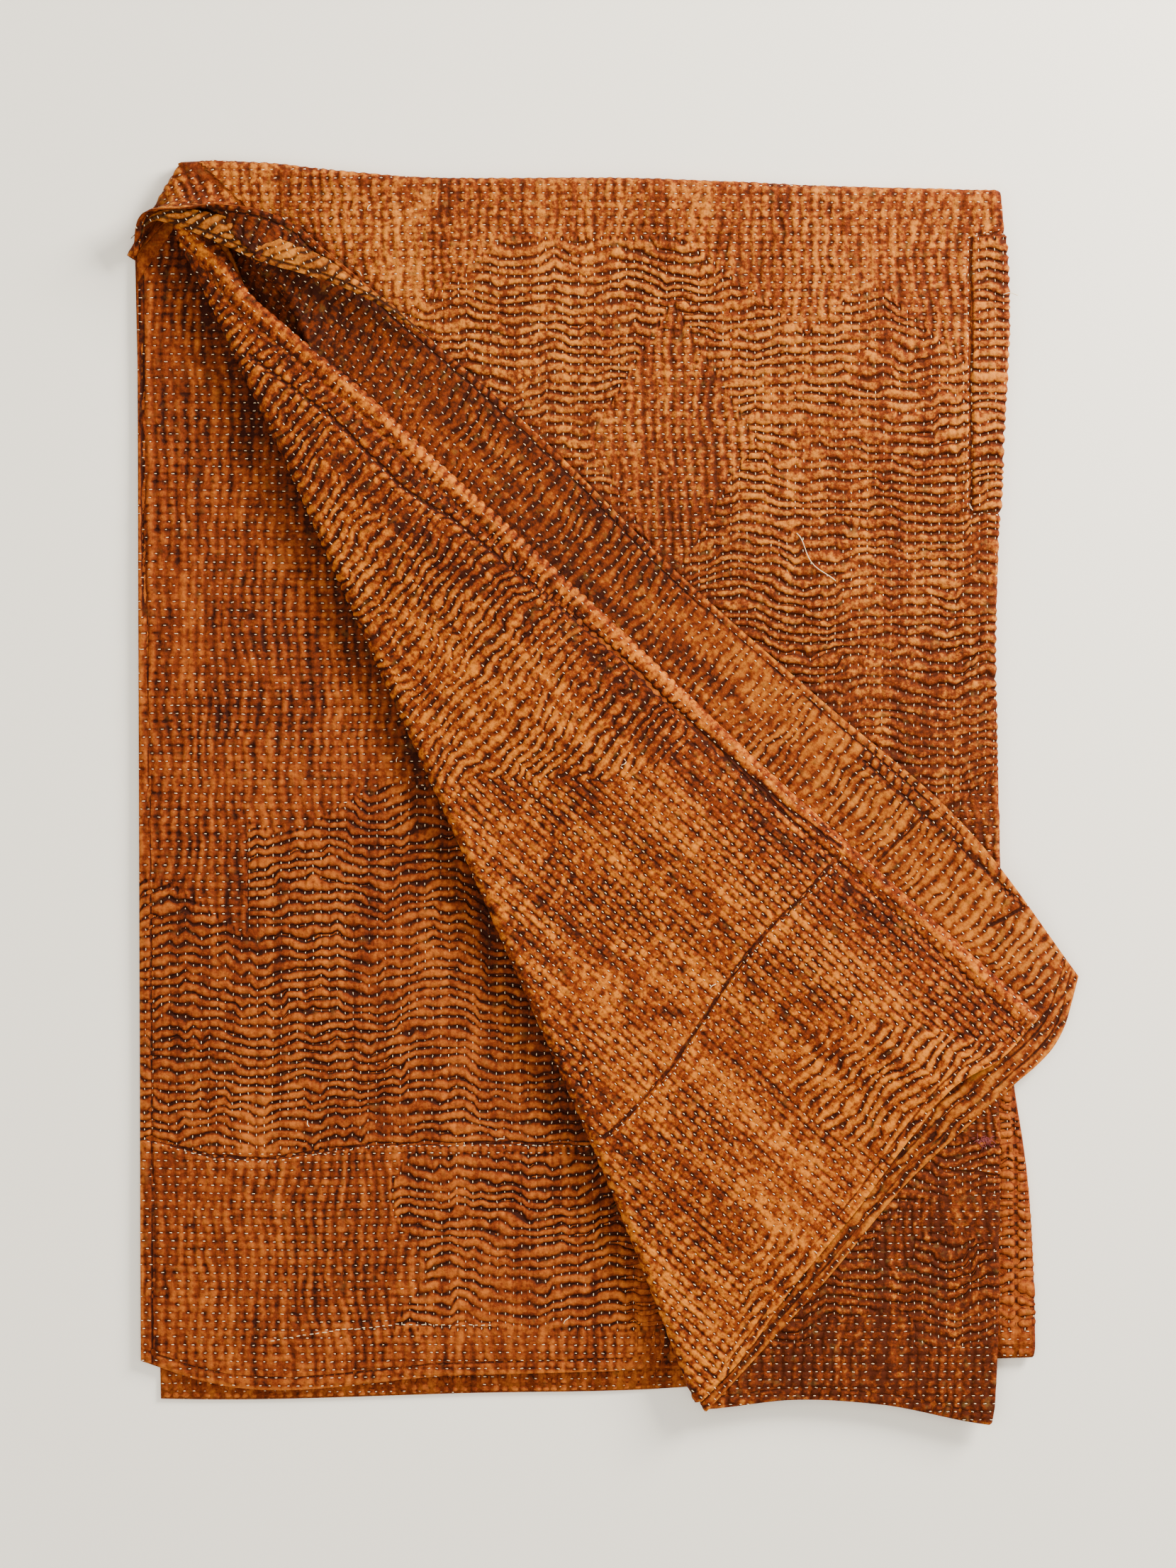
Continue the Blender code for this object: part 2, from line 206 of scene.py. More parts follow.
def smooth_read(table, names, key, name, where):
    """Read a column at a place on a smooth curve through the table's rows."""
    keys = column(table, names, key)
    values = column(table, names, name)
    slopes = np.gradient(values, keys)
    where = min(max(where, keys[0]), keys[-1])
    step = min(int(np.searchsorted(keys, where, side="right")) - 1, len(keys) - 2)
    span = keys[step + 1] - keys[step]
    s = (where - keys[step]) / span
    start = (2 * s ** 3 - 3 * s ** 2 + 1) * values[step] + (s ** 3 - 2 * s ** 2 + s) * span * slopes[step]
    end = (3 * s ** 2 - 2 * s ** 3) * values[step + 1] + (s ** 3 - s ** 2) * span * slopes[step + 1]
    return start + end


def station(table, names, along):
    """All the columns of a turn table at one place down the fold, by name."""
    return {name: smooth_read(table, names, "along", name, along) for name in names}


def top_edge(x):
    """Centre line of the fold over the top edge."""
    return smooth_read(TOP_EDGE, TOP_COLUMNS, "x", "y", x) - FOLD_REACH


def right_edge(pair, y):
    """Centre line of a pair's fold at the right."""
    return smooth_read(RIGHT_EDGE, RIGHT_COLUMNS, "y", pair, y) - HALF_PITCH - THICKNESS / 2


def end_hem(layer, x):
    """A layer's end hem in plan."""
    return smooth_read(END_HEMS, HEM_COLUMNS, "x", layer, x)


def roll(start, heading, turn, length):
    """Points of a strip that leaves start level and curls upward through turn degrees, evenly spaced."""
    bend = max(math.radians(turn), LEAST_BEND)
    radius = length / bend
    outward = np.array((math.cos(math.radians(heading)), math.sin(math.radians(heading)), 0.0))
    upward = np.array((0.0, 0.0, 1.0))
    angles = [bend * step / ROLL_STEPS for step in range(ROLL_STEPS + 1)]
    return [start + outward * radius * math.sin(a) + upward * radius * (1 - math.cos(a)) for a in angles]


def panel(start, end, lateness, steps):
    """Points from start to end in plan, after start, that reach the end's height sooner or later."""
    points = []
    for step in range(1, steps + 1):
        share = step / steps
        point = start + (end - start) * share
        point[2] = start[2] + (end[2] - start[2]) * share ** lateness
        points.append(point)
    return points


def tuck(edge, across, slope, turn, length):
    """Points, after the edge's first, of a margin that rolls over and under through turn degrees."""
    bend = max(math.radians(turn), LEAST_BEND)
    radius = length / bend
    points = []
    for step in range(1, EDGE_STEPS + 1):
        angle = slope - bend * step / EDGE_STEPS
        point = edge + across * radius * (math.sin(slope) - math.sin(angle))
        point[2] = edge[2] + radius * (math.cos(angle) - math.cos(slope))
        points.append(point)
    return points


def bow(layer, share, along):
    """How far an end hem lies outside the straight line across the turned part."""
    return smooth_read(END_BOW, BOW_COLUMNS, "across", layer, share) * along ** BOW_GROWTH


def bowed(points, fold, layer, along):
    """Push a turned row's points out along the fold so that the end hem has its outline."""
    reach = max(float(np.linalg.norm((points[-1] - fold)[:2])), 1.0)
    across = (points[-1] - fold)[:2] / reach
    outward = np.array((across[1], -across[0], 0.0))
    moved = []
    for point in points:
        share = min(max(float(np.dot((point - fold)[:2], across)) / reach, 0.0), 1.0)
        moved.append(point + outward * bow(layer, share, along))
    return moved


def outer_turned_row(along):
    """Upper outer layer from its fold to its side hem."""
    s = station(OUTER_TURN, OUTER_COLUMNS, along)
    fold = np.array((s["fold_x"], s["fold_y"], layer_level(3)))
    hem = np.array((s["hem_x"], s["hem_y"], s["hem_z"]))
    curl = roll(fold, s["heading"], s["turn"], s["roll"])
    lateness = 1 + LATE_RISE * min(along / FLAT_FROM, 1.0) ** LATE_GROWTH
    flat = panel(curl[-1], hem, lateness, PANEL_STEPS)
    return [curl[0]] + bowed(curl[1:] + flat, fold, "outer", along)


def inner_turned_row(along):
    """Upper inner layer from its fold, over the ridge, to its tucked side hem."""
    s = station(INNER_TURN, INNER_COLUMNS, along)
    fold = np.array((s["fold_x"], s["fold_y"], layer_level(2)))
    ridge = np.array((s["ridge_x"], s["ridge_y"], s["ridge_z"]))
    hem = np.array((s["hem_x"], s["hem_y"], s["hem_z"]))
    curl = roll(fold, s["heading"], s["turn"], s["roll"])
    flat = panel(curl[-1], ridge, 1, PANEL_STEPS)
    rise = ridge[2] - curl[-1][2]
    across = (ridge - curl[-1]) * (1, 1, 0)
    width = max(float(np.linalg.norm(across)), LEAST_WIDTH)
    over = tuck(ridge, across / width, math.atan2(rise, width), s["tuck"], s["tuck_roll"])
    margin = panel(over[-1], hem, 1, MARGIN_STEPS)
    return [curl[0]] + bowed(curl[1:] + flat + over + margin, fold, "inner", along)


def layer_level(layer):
    """Height of a layer's middle, counted from the lowest one."""
    return BOTTOM_LEVEL + layer * LAYER_PITCH


def upper_flat_row(layer, fold, along):
    """A layer of the upper pair from its turned part's fold to the right fold, after its first point."""
    right_y = (1 - along) * top_edge(TOP_CORNER_X) + along * end_hem(layer, UPPER_CORNER_X)
    right_x = right_edge("upper", right_y)
    points = []
    for step in range(1, FLAT_STEPS + 1):
        share = step / FLAT_STEPS
        x = (1 - share) * fold[0] + share * right_x
        straight = (1 - share) * fold[1] + share * right_y
        first = fold[0]
        line_top = top_edge(x) - ((1 - share) * top_edge(first) + share * top_edge(right_x))
        line_end = end_hem(layer, x) - ((1 - share) * end_hem(layer, first) + share * end_hem(layer, right_x))
        y = straight + (1 - along) * line_top + along * line_end
        points.append(np.array((x, y, fold[2])))
    return points


def lower_row(top_points, layer, left_x, level, down):
    """A row of the lower pair: each column runs from the top fold straight to the end hem."""
    right_x = right_edge("lower", end_hem(layer, LOWER_CORNER_X))
    first_x = top_points[0][0]
    last_x = top_points[-1][0]
    points = []
    for top in top_points:
        share = (top[0] - first_x) / (last_x - first_x)
        end_x = left_x + share * (right_x - left_x)
        x = (1 - down) * top[0] + down * end_x
        y = (1 - down) * top[1] + down * end_hem(layer, end_x)
        edge_x = right_edge("lower", y)
        plain_x = (1 - down) * last_x + down * right_x
        x = x + (edge_x - plain_x) * share ** EDGE_GROWTH
        points.append(np.array((x, y, level)))
    return points


def join_layers(outer, inner, middle_level, flip):
    """One row of the sheet: outer layer, the fold at the right, inner layer."""
    centre = (outer[-1] + inner[-1]) / 2
    radius = HALF_PITCH
    half_y = (outer[-1] - inner[-1])[1] / 2
    arc = []
    for step in range(1, EDGE_STEPS):
        angle = math.pi * step / EDGE_STEPS
        x = centre[0] + radius * math.sin(angle)
        z = middle_level + flip * radius * math.cos(angle)
        arc.append(np.array((x, centre[1] + half_y * math.cos(angle), z)))
    return outer + arc + inner[::-1]


def upper_row(along):
    """A row of the upper pair, from the outer layer's side hem to the inner layer's."""
    turned_outer = outer_turned_row(along)
    turned_inner = inner_turned_row(along)
    outer = turned_outer[::-1] + upper_flat_row("upper_outer", turned_outer[0], along)
    inner = turned_inner[::-1] + upper_flat_row("upper_inner", turned_inner[0], along)
    return join_layers(outer, inner, (layer_level(3) + layer_level(2)) / 2, 1)


def split_columns():
    """How many columns each layer has."""
    outer = PANEL_STEPS + ROLL_STEPS + 1 + FLAT_STEPS
    inner = outer + EDGE_STEPS + MARGIN_STEPS
    return outer, inner


def bottom_row(first_row, down):
    """A row of the lower pair, with the same columns as the upper pair's first row."""
    outer_count, inner_count = split_columns()
    outer_top = first_row[:outer_count]
    inner_top = first_row[-inner_count:][::-1]
    outer = lower_row(outer_top, "lower_outer", LOWER_OUTER_LEFT, layer_level(0), down)
    inner = lower_row(inner_top, "lower_inner", LOWER_INNER_LEFT, layer_level(1), down)
    return join_layers(outer, inner, (layer_level(0) + layer_level(1)) / 2, -1)


def outward_over_top(point):
    """Which way the fold over the top edge bulges: up the page, and to the left at its slanted end."""
    slant = min(max((SLANT_START - point[0]) / SLANT_LENGTH, 0.0), 1.0)
    direction = np.array((-SLANT_LEFT * slant, 1.0 - SLANT_DOWN * slant, 0.0))
    return direction / np.linalg.norm(direction)


def top_fold_row(first_row, turn):
    """A row on the fold over the top edge; turn is 0 at the upper pair and pi at the lower one."""
    points = []
    for point in first_row:
        radius = point[2] - FOLD_LEVEL
        moved = point + outward_over_top(point) * radius * math.sin(turn)
        moved[2] = FOLD_LEVEL + radius * math.cos(turn)
        points.append(moved)
    return points


def folded_grid():
    """The middle surface of the whole sheet as rows of points."""
    shares = [(step / UPPER_ROWS) ** ROW_CROWDING for step in range(UPPER_ROWS + 1)]
    upper = [upper_row(share) for share in reversed(shares)]
    first = upper[-1]
    over = [top_fold_row(first, math.pi * step / FOLD_ROWS) for step in range(1, FOLD_ROWS)]
    lower = [bottom_row(first, step / LOWER_ROWS) for step in range(LOWER_ROWS + 1)]
    return np.array(upper + over + lower)


def settle(grid):
    """Make the stack uneven in height, and let the turned corner droop past the right edge."""
    x = grid[..., 0]
    y = grid[..., 1]
    wave = np.sin(x / WAVE_ACROSS + ACROSS_START) * np.cos(y / WAVE_ALONG + ALONG_START)
    slanted = np.sin((x + y) / WAVE_SLANTED + SLANTED_START)
    height = grid[..., 2] - BOTTOM_LEVEL
    grid[..., 2] += height * (SWELL_MEAN + SWELL_WAVE * wave + SLANTED_WAVE * slanted)
    past = np.clip(x - DROOP_START, 0, None)
    high = np.clip((grid[..., 2] - layer_level(2)) / LAYER_PITCH, 0, 1)
    grid[..., 2] -= DROOP_RATE * past ** 2 * high
    return grid


def grid_normals(grid):
    """Unit normals of a grid of points, by central differences."""
    down = np.gradient(grid, axis=0)
    across = np.gradient(grid, axis=1)
    normals = np.cross(down, across)
    return normals / np.linalg.norm(normals, axis=-1, keepdims=True)


# Running stitches: distance between rows, distance between stitches in a row, and a stitch's size
ROW_PITCH = 6.5
STITCH_PITCH = 8.3
STITCH_LENGTH = 3.0
STITCH_RADIUS = 0.36
STITCH_RISE = 0.5
STITCH_SINK = 0.35

# How stitches, rows and creases sway, and how lumpy and how strongly puckered the cloth is.
# Each part has its weight, its length in millimetres and its own seed.
STITCH_SWAY = ((1.3, 52.0, 2), (0.7, 15.0, 3), (0.42, 8.0, 4))
ROW_SWAY = ((3.0, 120.0, 5), (1.0, 35.0, 6))
CREASE_SWAY = ((1.5, 60.0, 11), (0.5, 16.0, 12))
LUMPS = ((1.0, 9.0, 7), (0.5, 4.0, 8))
STRENGTH = ((0.8, 55.0, 9), (0.6, 17.0, 10))
LUMP_MIDDLE = 0.75
LEAST_STRENGTH = 0.25

# How far the stitches of near rows drift apart, and of each row from the next
DRIFT = 1.6
DRIFT_ROWS = 5.0
DRIFT_LENGTH = 400.0
JUMP_LENGTH = 26.0
JUMP_ACROSS = 0.9
JUMP_ALONG = 0.45
ALONG_SEED = 20

# Puckers that the stitches draw into the cloth, and how strongly the waves and lumps paint shade into the
# valleys and highlight onto the tops, with some wear
PUCKER_DEPTH = 0.85
PUCKER_SHARPNESS = 1.5
ACROSS_WAVE = 0.45
BETWEEN_ROWS = 0.35
LUMP_DEPTH = 0.55
WAVE_PAINTED_SHADE = 0.5
LUMP_PAINTED_LIGHT = 0.7

# The turned flap's fold line leans this far from the stack's length, which turns the stitch rows with it
FLAP_TURN = math.radians(48.3)

# Size of the photograph's pixels, and the one at the tables' origin
PIXEL = 0.578
ORIGIN_PIXEL = (852, 1117)


def pixel(u, v):
    """A pixel of the photograph as a place on the throw, in millimetres."""
    return (u - ORIGIN_PIXEL[0]) * PIXEL, (ORIGIN_PIXEL[1] - v) * PIXEL


def pixels(*places):
    """Several pixels of the photograph as a path on the throw."""
    return [pixel(u, v) for u, v in places]


# Seams, sewn patches and edges, in pixels of the photograph
PATCH_SEAM = pixels((1422, 328), (1367, 340), (1367, 725), (1415, 724))
SMALL_PATCH_SEAM = pixels((1332, 1646), (1407, 1654))
LEFT_SEAM = pixels((207, 1602), (303, 1629), (387, 1632), (456, 1621), (525, 1611), (735, 1609), (834, 1611))
LEFT_EDGE_SEAM = pixels((200, 370), (205, 870))
FLAP_SEAM = pixels((357, 505), (468, 589), (571, 689), (650, 742), (883, 933), (994, 1037), (1102, 1132),
                   (1186, 1194))
FLAP_CROSS_SEAM = pixels((1183, 1203), (1127, 1266), (1089, 1301), (1050, 1346), (948, 1500), (880, 1576),
                         (853, 1599))
BAND_SEAM = pixels((1309, 1141), (1236, 1213))
BAND_END_EDGE = pixels((1218, 1072), (1301, 1147), (1400, 1236), (1442, 1278), (1396, 1302))
RIGHT_STEP = pixels((1428, 1530), (1434, 1700), (1434, 1925))
MENDED_LINE = pixels((380, 1890), (470, 1876), (560, 1867), (700, 1868))

# Table of random values behind the noise, and how a seed moves the place that is read in it
RANDOM_SEED = 11
NOISE_SIZE = 512
NOISE_START = 200.0
SEED_MOVES = (37.3, 17.9)
rng = np.random.default_rng(RANDOM_SEED)
noise_table = rng.random((NOISE_SIZE, NOISE_SIZE))


def ease(t):
    """A share from 0 to 1, slower at both ends."""
    return t * t * (3 - 2 * t)


def blend(first, second, share):
    """Between two values, by the second one's share."""
    return first * (1 - share) + second * share


def rise(value, width):
    """0 up to nought, 1 from the width on, and straight between."""
    return np.clip(value / width, 0, 1)


def between(value, low, high, low_width, high_width):
    """1 from low to high, with soft ends inside them."""
    return rise(value - low, low_width) * rise(high - value, high_width)


def bell(far, width):
    """1 at nought, falling off to both sides over a width."""
    return np.exp(-(far / width) ** 2)


def noise(x, y, size, seed=0):
    """Smooth value noise from 0 to 1 with cells of the given size in millimetres."""
    u = np.asarray(x, dtype=float) / size + SEED_MOVES[0] * seed + NOISE_START
    v = np.asarray(y, dtype=float) / size + SEED_MOVES[1] * seed + NOISE_START
    i = np.floor(u).astype(int)
    j = np.floor(v).astype(int)
    left = i % NOISE_SIZE
    right = (i + 1) % NOISE_SIZE
    rows = (j % NOISE_SIZE, (j + 1) % NOISE_SIZE)
    near, far = (blend(noise_table[left, row], noise_table[right, row], ease(u - i)) for row in rows)
    return blend(near, far, ease(v - j))


def sway(x, y, parts, seed):
    """Sum of noises at a place, by their weights, lengths and own seeds."""
    return sum(weight * noise(x, y, length, seed + own) for weight, length, own in parts)


def phase(s, row, seed, wander):
    """Stitches passed along a row at a place on it, where whole numbers are stitches."""
    drift = DRIFT * noise(row / DRIFT_ROWS, s / DRIFT_LENGTH, 1.0, seed)
    jump = wander * noise(row, s / JUMP_LENGTH, 1.0, seed + 1)
    return s / STITCH_PITCH + sway(s, row * ROW_PITCH, STITCH_SWAY, seed) + drift + jump


def stitch_fields(s, r, seed, wander):
    """Stitches passed along a row, and rows passed, at each place: whole numbers in both mark a stitch."""
    row_place = (r + sway(s, 0.0 * s, ROW_SWAY, seed)) / ROW_PITCH
    row = np.floor(row_place)
    passed = blend(phase(s, row, seed, wander), phase(s, row + 1, seed, wander), ease(row_place - row))
    return passed, row_place


# A zone gives 0 where stitches run across the throw, and 1 where they run along it.
# Zones on the left panel: a band with a wavy top, and the right part of the bottom under the seam
BAND_TOP = -30
BAND_SLANT = 0.1
LEFT_BAND_TOP = -95.0
LEFT_BAND_END = -290
BAND_WAVE = 26
BAND_WAVE_LENGTH = 34.0
BAND_LOW = -292
BOTTOM_LOW = -440
MIXED_START = -163
MIXED_WAVE = 14
MIXED_WAVE_LENGTH = 19.0


def zone_left_panel(x, y):
    """Share of stitches that run along the throw on the left panel."""
    top = np.where(x > LEFT_BAND_END, BAND_TOP - BAND_SLANT * x, LEFT_BAND_TOP)
    band = between(y, BAND_LOW, top + BAND_WAVE * np.sin(x / BAND_WAVE_LENGTH), 4.0, 6.0)
    bottom = between(y, BOTTOM_LOW, BAND_LOW, 6.0, 4.0)
    mixed = rise(x - MIXED_START + MIXED_WAVE * np.sin(y / MIXED_WAVE_LENGTH), 6.0)
    return np.clip(band + bottom * mixed, 0, 1)


# Zones on the upper right panel: diamonds by their middle, their slants across and along, and their reach
DIAMONDS = ((-10, 300, 0.75, 1.0, 205), (215, 170, 0.9, 1.0, 250))
HOLE = (55, 285, 1.0, 0.6, 70)
DIAMONDS_LOW = -20
DIAMONDS_HIGH = 452
PATCH_LEFT = 298
PATCH_LOW = 226
PATCH_HIGH = 449
SPOT_SQUEEZE = 0.7
SPOT_SIZE = 32.0
SPOT_SEED = 63
SPOT_LEVEL = 0.42
SPOTS_LOW = -452
SPOTS_HIGH = -280


def zone_upper_right(x, y):
    """Share of stitches that run along the throw on the upper right panel."""
    def diamond(middle_x, middle_y, slant_x, slant_y, reach):
        return reach - np.abs(x - middle_x) * slant_x - np.abs(y - middle_y) * slant_y

    inside = rise(np.maximum(*(diamond(*one) for one in DIAMONDS)), 6.0)
    inside = inside * between(y, DIAMONDS_LOW, DIAMONDS_HIGH, 6.0, 6.0) * (1 - rise(diamond(*HOLE), 5.0))
    patch = rise(x - PATCH_LEFT, 2.0) * between(y, PATCH_LOW, PATCH_HIGH, 2.0, 2.0)
    spots = rise(noise(x * SPOT_SQUEEZE, y, SPOT_SIZE, SPOT_SEED) - SPOT_LEVEL, 0.05)
    spots = spots * between(y, SPOTS_LOW, SPOTS_HIGH, 4.0, 4.0)
    return np.maximum(np.maximum(inside, patch), spots)


# Zones on the flap: bent stripes along it, of which more are filled further up
STRIPE_LENGTH = 95.0
STRIPE_BEND = 1.1
BEND_LENGTH = 60.0
STRIPE_START = -0.4
SIDE_WAVE = 0.5
SIDE_LENGTH = 47.0
SIDE_START = 1.0
FILLED_FROM = 60
FILLED_OVER = 90
LEAST_FILLED = -0.95
STRIPE_LEVEL = 0.35


def zone_flap(a, b):
    """Creases on the turned flap, where all stitches run along it: 0.5 beside the rows, 1 across them."""
    stripe = np.sin(b / STRIPE_LENGTH + STRIPE_BEND * np.sin(a / BEND_LENGTH) + STRIPE_START)
    stripe = stripe + SIDE_WAVE * np.sin(a / SIDE_LENGTH + SIDE_START)
    stripe = stripe + np.clip((b - FILLED_FROM) / FILLED_OVER, LEAST_FILLED, 1.0)
    return 0.5 + 0.5 * rise(stripe + STRIPE_LEVEL, 0.08)


def zone_band(a, b):
    """Share of stitches that run along the throw on the turned outer layer: all of them."""
    return np.ones_like(a)


def crest(passed):
    """1 where a whole number is passed, and 0 halfway between."""
    return 0.5 + 0.5 * np.cos(2 * math.pi * passed)


def relief(points, turn, zone, seed):
    """Height of the quilting over a grid of points, and the fields that the shader and the stitches read."""
    x = points[..., 0]
    y = points[..., 1]
    across = x * math.cos(turn) + y * math.sin(turn)
    along = -x * math.sin(turn) + y * math.cos(turn)
    share = zone(across, along)
    run_across, row_across = stitch_fields(across, along, seed, JUMP_ACROSS)
    run_along, row_along = stitch_fields(along, across, seed + ALONG_SEED, JUMP_ALONG)
    straight = across / STITCH_PITCH + sway(across, along, CREASE_SWAY, seed)
    wave_across, wave_along = (1 - 2 * crest(passed) ** PUCKER_SHARPNESS for passed in (straight, run_along))
    wave = blend(wave_across * ACROSS_WAVE - crest(row_across) * BETWEEN_ROWS, wave_along, share)
    lumps = sway(x, y, LUMPS, seed) - LUMP_MIDDLE
    strength = LEAST_STRENGTH + sway(x, y, STRENGTH, seed)
    height = strength * PUCKER_DEPTH * wave + LUMP_DEPTH * lumps
    # Painted shade in the valleys and painted highlight on the tops, with some wear, for the shader's colour
    painted_light_and_wear = np.clip(0.5 + 0.5 * (wave * WAVE_PAINTED_SHADE * strength + lumps * LUMP_PAINTED_LIGHT), 0, 1)
    runs = np.stack((run_across, run_along, share), axis=-1)
    rows = np.stack((row_across, row_along, strength), axis=-1)
    return height, {"painted_light_and_wear": painted_light_and_wear, "runs": runs, "rows": rows, "straight": straight}


def set_field(mesh, name, values):
    """Keep a number or a triple for each point of a mesh."""
    single = values.ndim == 1
    layer = mesh.attributes.new(name, "FLOAT" if single else "FLOAT_VECTOR", "POINT")
    layer.data.foreach_set("value" if single else "vector", values.astype(np.float32).ravel())


def lengths(path):
    """Length passed at each place of a path."""
    return np.concatenate(([0.0], np.cumsum(np.linalg.norm(np.diff(path, axis=0), axis=1))))


def along_path(points, path):
    """Distance of each point from a path of places, seen from above, in millimetres."""
    path = np.array(path, dtype=float)
    near = np.full(points.shape[:2], np.inf)
    for start, end in zip(path[:-1], path[1:]):
        step = end - start
        apart = points[..., :2] - start
        share = np.clip((apart @ step) / (step @ step), 0, 1)
        near = np.minimum(near, np.linalg.norm(apart - share[..., None] * step, axis=-1))
    return near


def from_edge(points, edge):
    """Distance of each point from one edge of a face, measured over the cloth."""
    grid = points if edge.endswith("column") else np.swapaxes(points, 0, 1)
    grid = grid[:, ::-1] if edge.startswith("last") else grid
    far = np.array([lengths(line) for line in grid])
    far = far[:, ::-1] if edge.startswith("last") else far
    return far if edge.endswith("column") else far.T


def grid_corners(rows, columns):
    """Numbers of a grid's points, and those of its quads' four corners."""
    index = np.arange(rows * columns).reshape(rows, columns)
    corners = (index[:-1, :-1], index[:-1, 1:], index[1:, 1:], index[1:, :-1])
    return index, [corner.ravel() for corner in corners]


def finish_piece(name, mesh, material):
    """An object for a mesh, smooth and in its material."""
    mesh.shade_smooth()
    mesh.materials.append(material)
    piece = bpy.data.objects.new(name, mesh)
    bpy.context.scene.collection.objects.link(piece)
    return piece


def grid_mesh(name, points, fields, material, flip):
    """A mesh of quads over a grid, with its fields kept for the shader."""
    count = points.shape[0] * points.shape[1]
    a, b, c, d = grid_corners(*points.shape[:2])[1]
    quads = np.stack((a, b, c, d) if flip else (a, d, c, b), axis=1)
    mesh = bpy.data.meshes.new(name)
    mesh.vertices.add(count)
    mesh.vertices.foreach_set("co", ((points.reshape(-1, 3) - np.array(BOX_MIDDLE)) * MM).ravel())
    mesh.loops.add(quads.size)
    mesh.loops.foreach_set("vertex_index", quads.ravel().astype(np.int32))
    mesh.polygons.add(len(quads))
    mesh.polygons.foreach_set("loop_start", np.arange(0, quads.size, 4, dtype=np.int32))
    mesh.polygons.foreach_set("loop_total", np.full(len(quads), 4, dtype=np.int32))
    mesh.update(calc_edges=True)
    mesh.validate()
    for field, values in fields.items():
        set_field(mesh, field, values.reshape(count, -1).squeeze())
    return finish_piece(name, mesh, material)


# Where layers and folds lie in the grid's columns and rows
OUTER_FOLD = PANEL_STEPS + ROLL_STEPS
OUTER_END = OUTER_FOLD + FLAT_STEPS
INNER_START = OUTER_END + EDGE_STEPS
INNER_FOLD = INNER_START + FLAT_STEPS
RIDGE = INNER_FOLD + ROLL_STEPS + PANEL_STEPS
LAST_COLUMN = RIDGE + EDGE_STEPS + MARGIN_STEPS
LOWER_TOP_ROW = UPPER_ROWS + FOLD_ROWS
LAST_ROW = LOWER_TOP_ROW + LOWER_ROWS

# The core under the faces, and how high and how fine a face is
CORE_HALF = 0.55
CORE_OVERLAP = 4
CORE_INNER = 14
FACE_LIFT = 0.30
FACE_STEP = 1.95
FAR = 50.0
PLAIN_DEPTH = 0.45

# Seams, and the cloth that swells beside them, lit lighter there as a painted highlight
SEAM_WIDTH = 1.7
SEAM_DEPTH = 0.9
BESIDE_SEAM = 4.5
SWELL_WIDTH = 2.5
SWELL_RISE = 0.5
SWELL_HIGHLIGHT = 0.15
WOBBLE = 1.8
WOBBLE_LENGTH = 13.0
WOBBLE_SEED = 30

# Hems: the groove of their sewn lines, how the cloth's edge falls off, and the painted highlight along the
# edge
HEM_DEPTH = 0.7
HEM_SOFTNESS = 0.5
EDGE_FALL = 1.5
EDGE_HIGHLIGHT = 0.5
EDGE_HIGHLIGHT_PLACE = 1.0
EDGE_HIGHLIGHT_WIDTH = 1.8

# The roll along the flap's ridge and the groove beside it, which fades above a place. The roll is lightened
# as a painted highlight and keeps only part of the painted light and wear field, and the groove is darkened
# as painted shade.
ROLL_TOP = 120.0
ROLL_FADE = 60.0
ROLL_FADING = 3.0
ROLL_WIDTH = 11.0
ROLL_RISE = 2.4
ROLL_PLACE = 2.0
ROLL_SPREAD = 5.0
ROLL_SMOOTHING = 0.8
ROLL_HIGHLIGHT = 0.5
ROLL_SHADE_KEPT = 0.7
ROLL_STRENGTH_LOST = 0.85
GROOVE_DEPTH = 1.1
GROOVE_WIDTH = 2.0

# The extra layer of the sewn patch
PATCH_RISE = 1.1
PATCH_LIGHT = 0.10
PATCH_EDGE = 1.5
PATCH_TOP_GAP = 3

# Ends of the throw, between which a face's tones are spread: darker or lighter along the throw, which is
# painted shade on the turned band, the deep face and the layers under the flap's hem
TONES_LOW = -500.0
TONES_HIGH = 450.0


def even_places(line, first, last, step):
    """Places from first to last along a line of points, about step millimetres apart."""
    far = lengths(line[first:last + 1])
    count = max(int(round(far[-1] / step)), 2) + 1
    return first + np.interp(np.linspace(0, far[-1], count), far, np.arange(len(far)))


def down(column, first, last):
    """Places of a face's rows, even along a column of the sheet."""
    return even_places(sheet[:, column], first, last, FACE_STEP)


def over(row, first, last, finer=1.0):
    """Places of a face's columns, even along a row of the sheet."""
    return even_places(sheet[row], first, last, FACE_STEP * finer)


def row_at(share):
    """Row at a share of the way up from the end hem to the top fold."""
    return int(UPPER_ROWS * share)


def read_smooth(values, places):
    """Read rows of points at fractional places, on smooth curves."""
    last = len(values) - 1
    i = np.clip(np.floor(places).astype(int), 0, last - 1)
    t = (places - i)[:, None, None]
    before, a, b, after = (values[np.clip(i + step, 0, last)] for step in (-1, 0, 1, 2))
    curve = (2 * t ** 3 - 3 * t ** 2 + 1) * a + (t ** 3 - 2 * t ** 2 + t) * (b - before) / 2
    return curve + (3 * t ** 2 - 2 * t ** 3) * b + (t ** 3 - t ** 2) * (after - a) / 2


def read_patch(grid, row_places, column_places):
    """A finer patch of the grid."""
    fine = read_smooth(grid, row_places)
    return np.swapaxes(read_smooth(np.swapaxes(fine, 0, 1), column_places), 0, 1)


# Edges of the turned layers in plan: a place on each, and the direction that leads inside
FLAP_HEM = (-246, 455, -0.690, -0.724)
FLAP_END = (75, -495, -0.741, 0.672)
FLAP_FOLD = (-354, 456, 0.911, 0.411)
PANEL_RIDGE = (340, -163, -0.666, -0.746)
PANEL_END = (85, -502, -0.799, 0.601)


def past(edge, x, y):
    """How far inside an edge a place lies, in millimetres."""
    return (x - edge[0]) * edge[2] + (y - edge[1]) * edge[3]


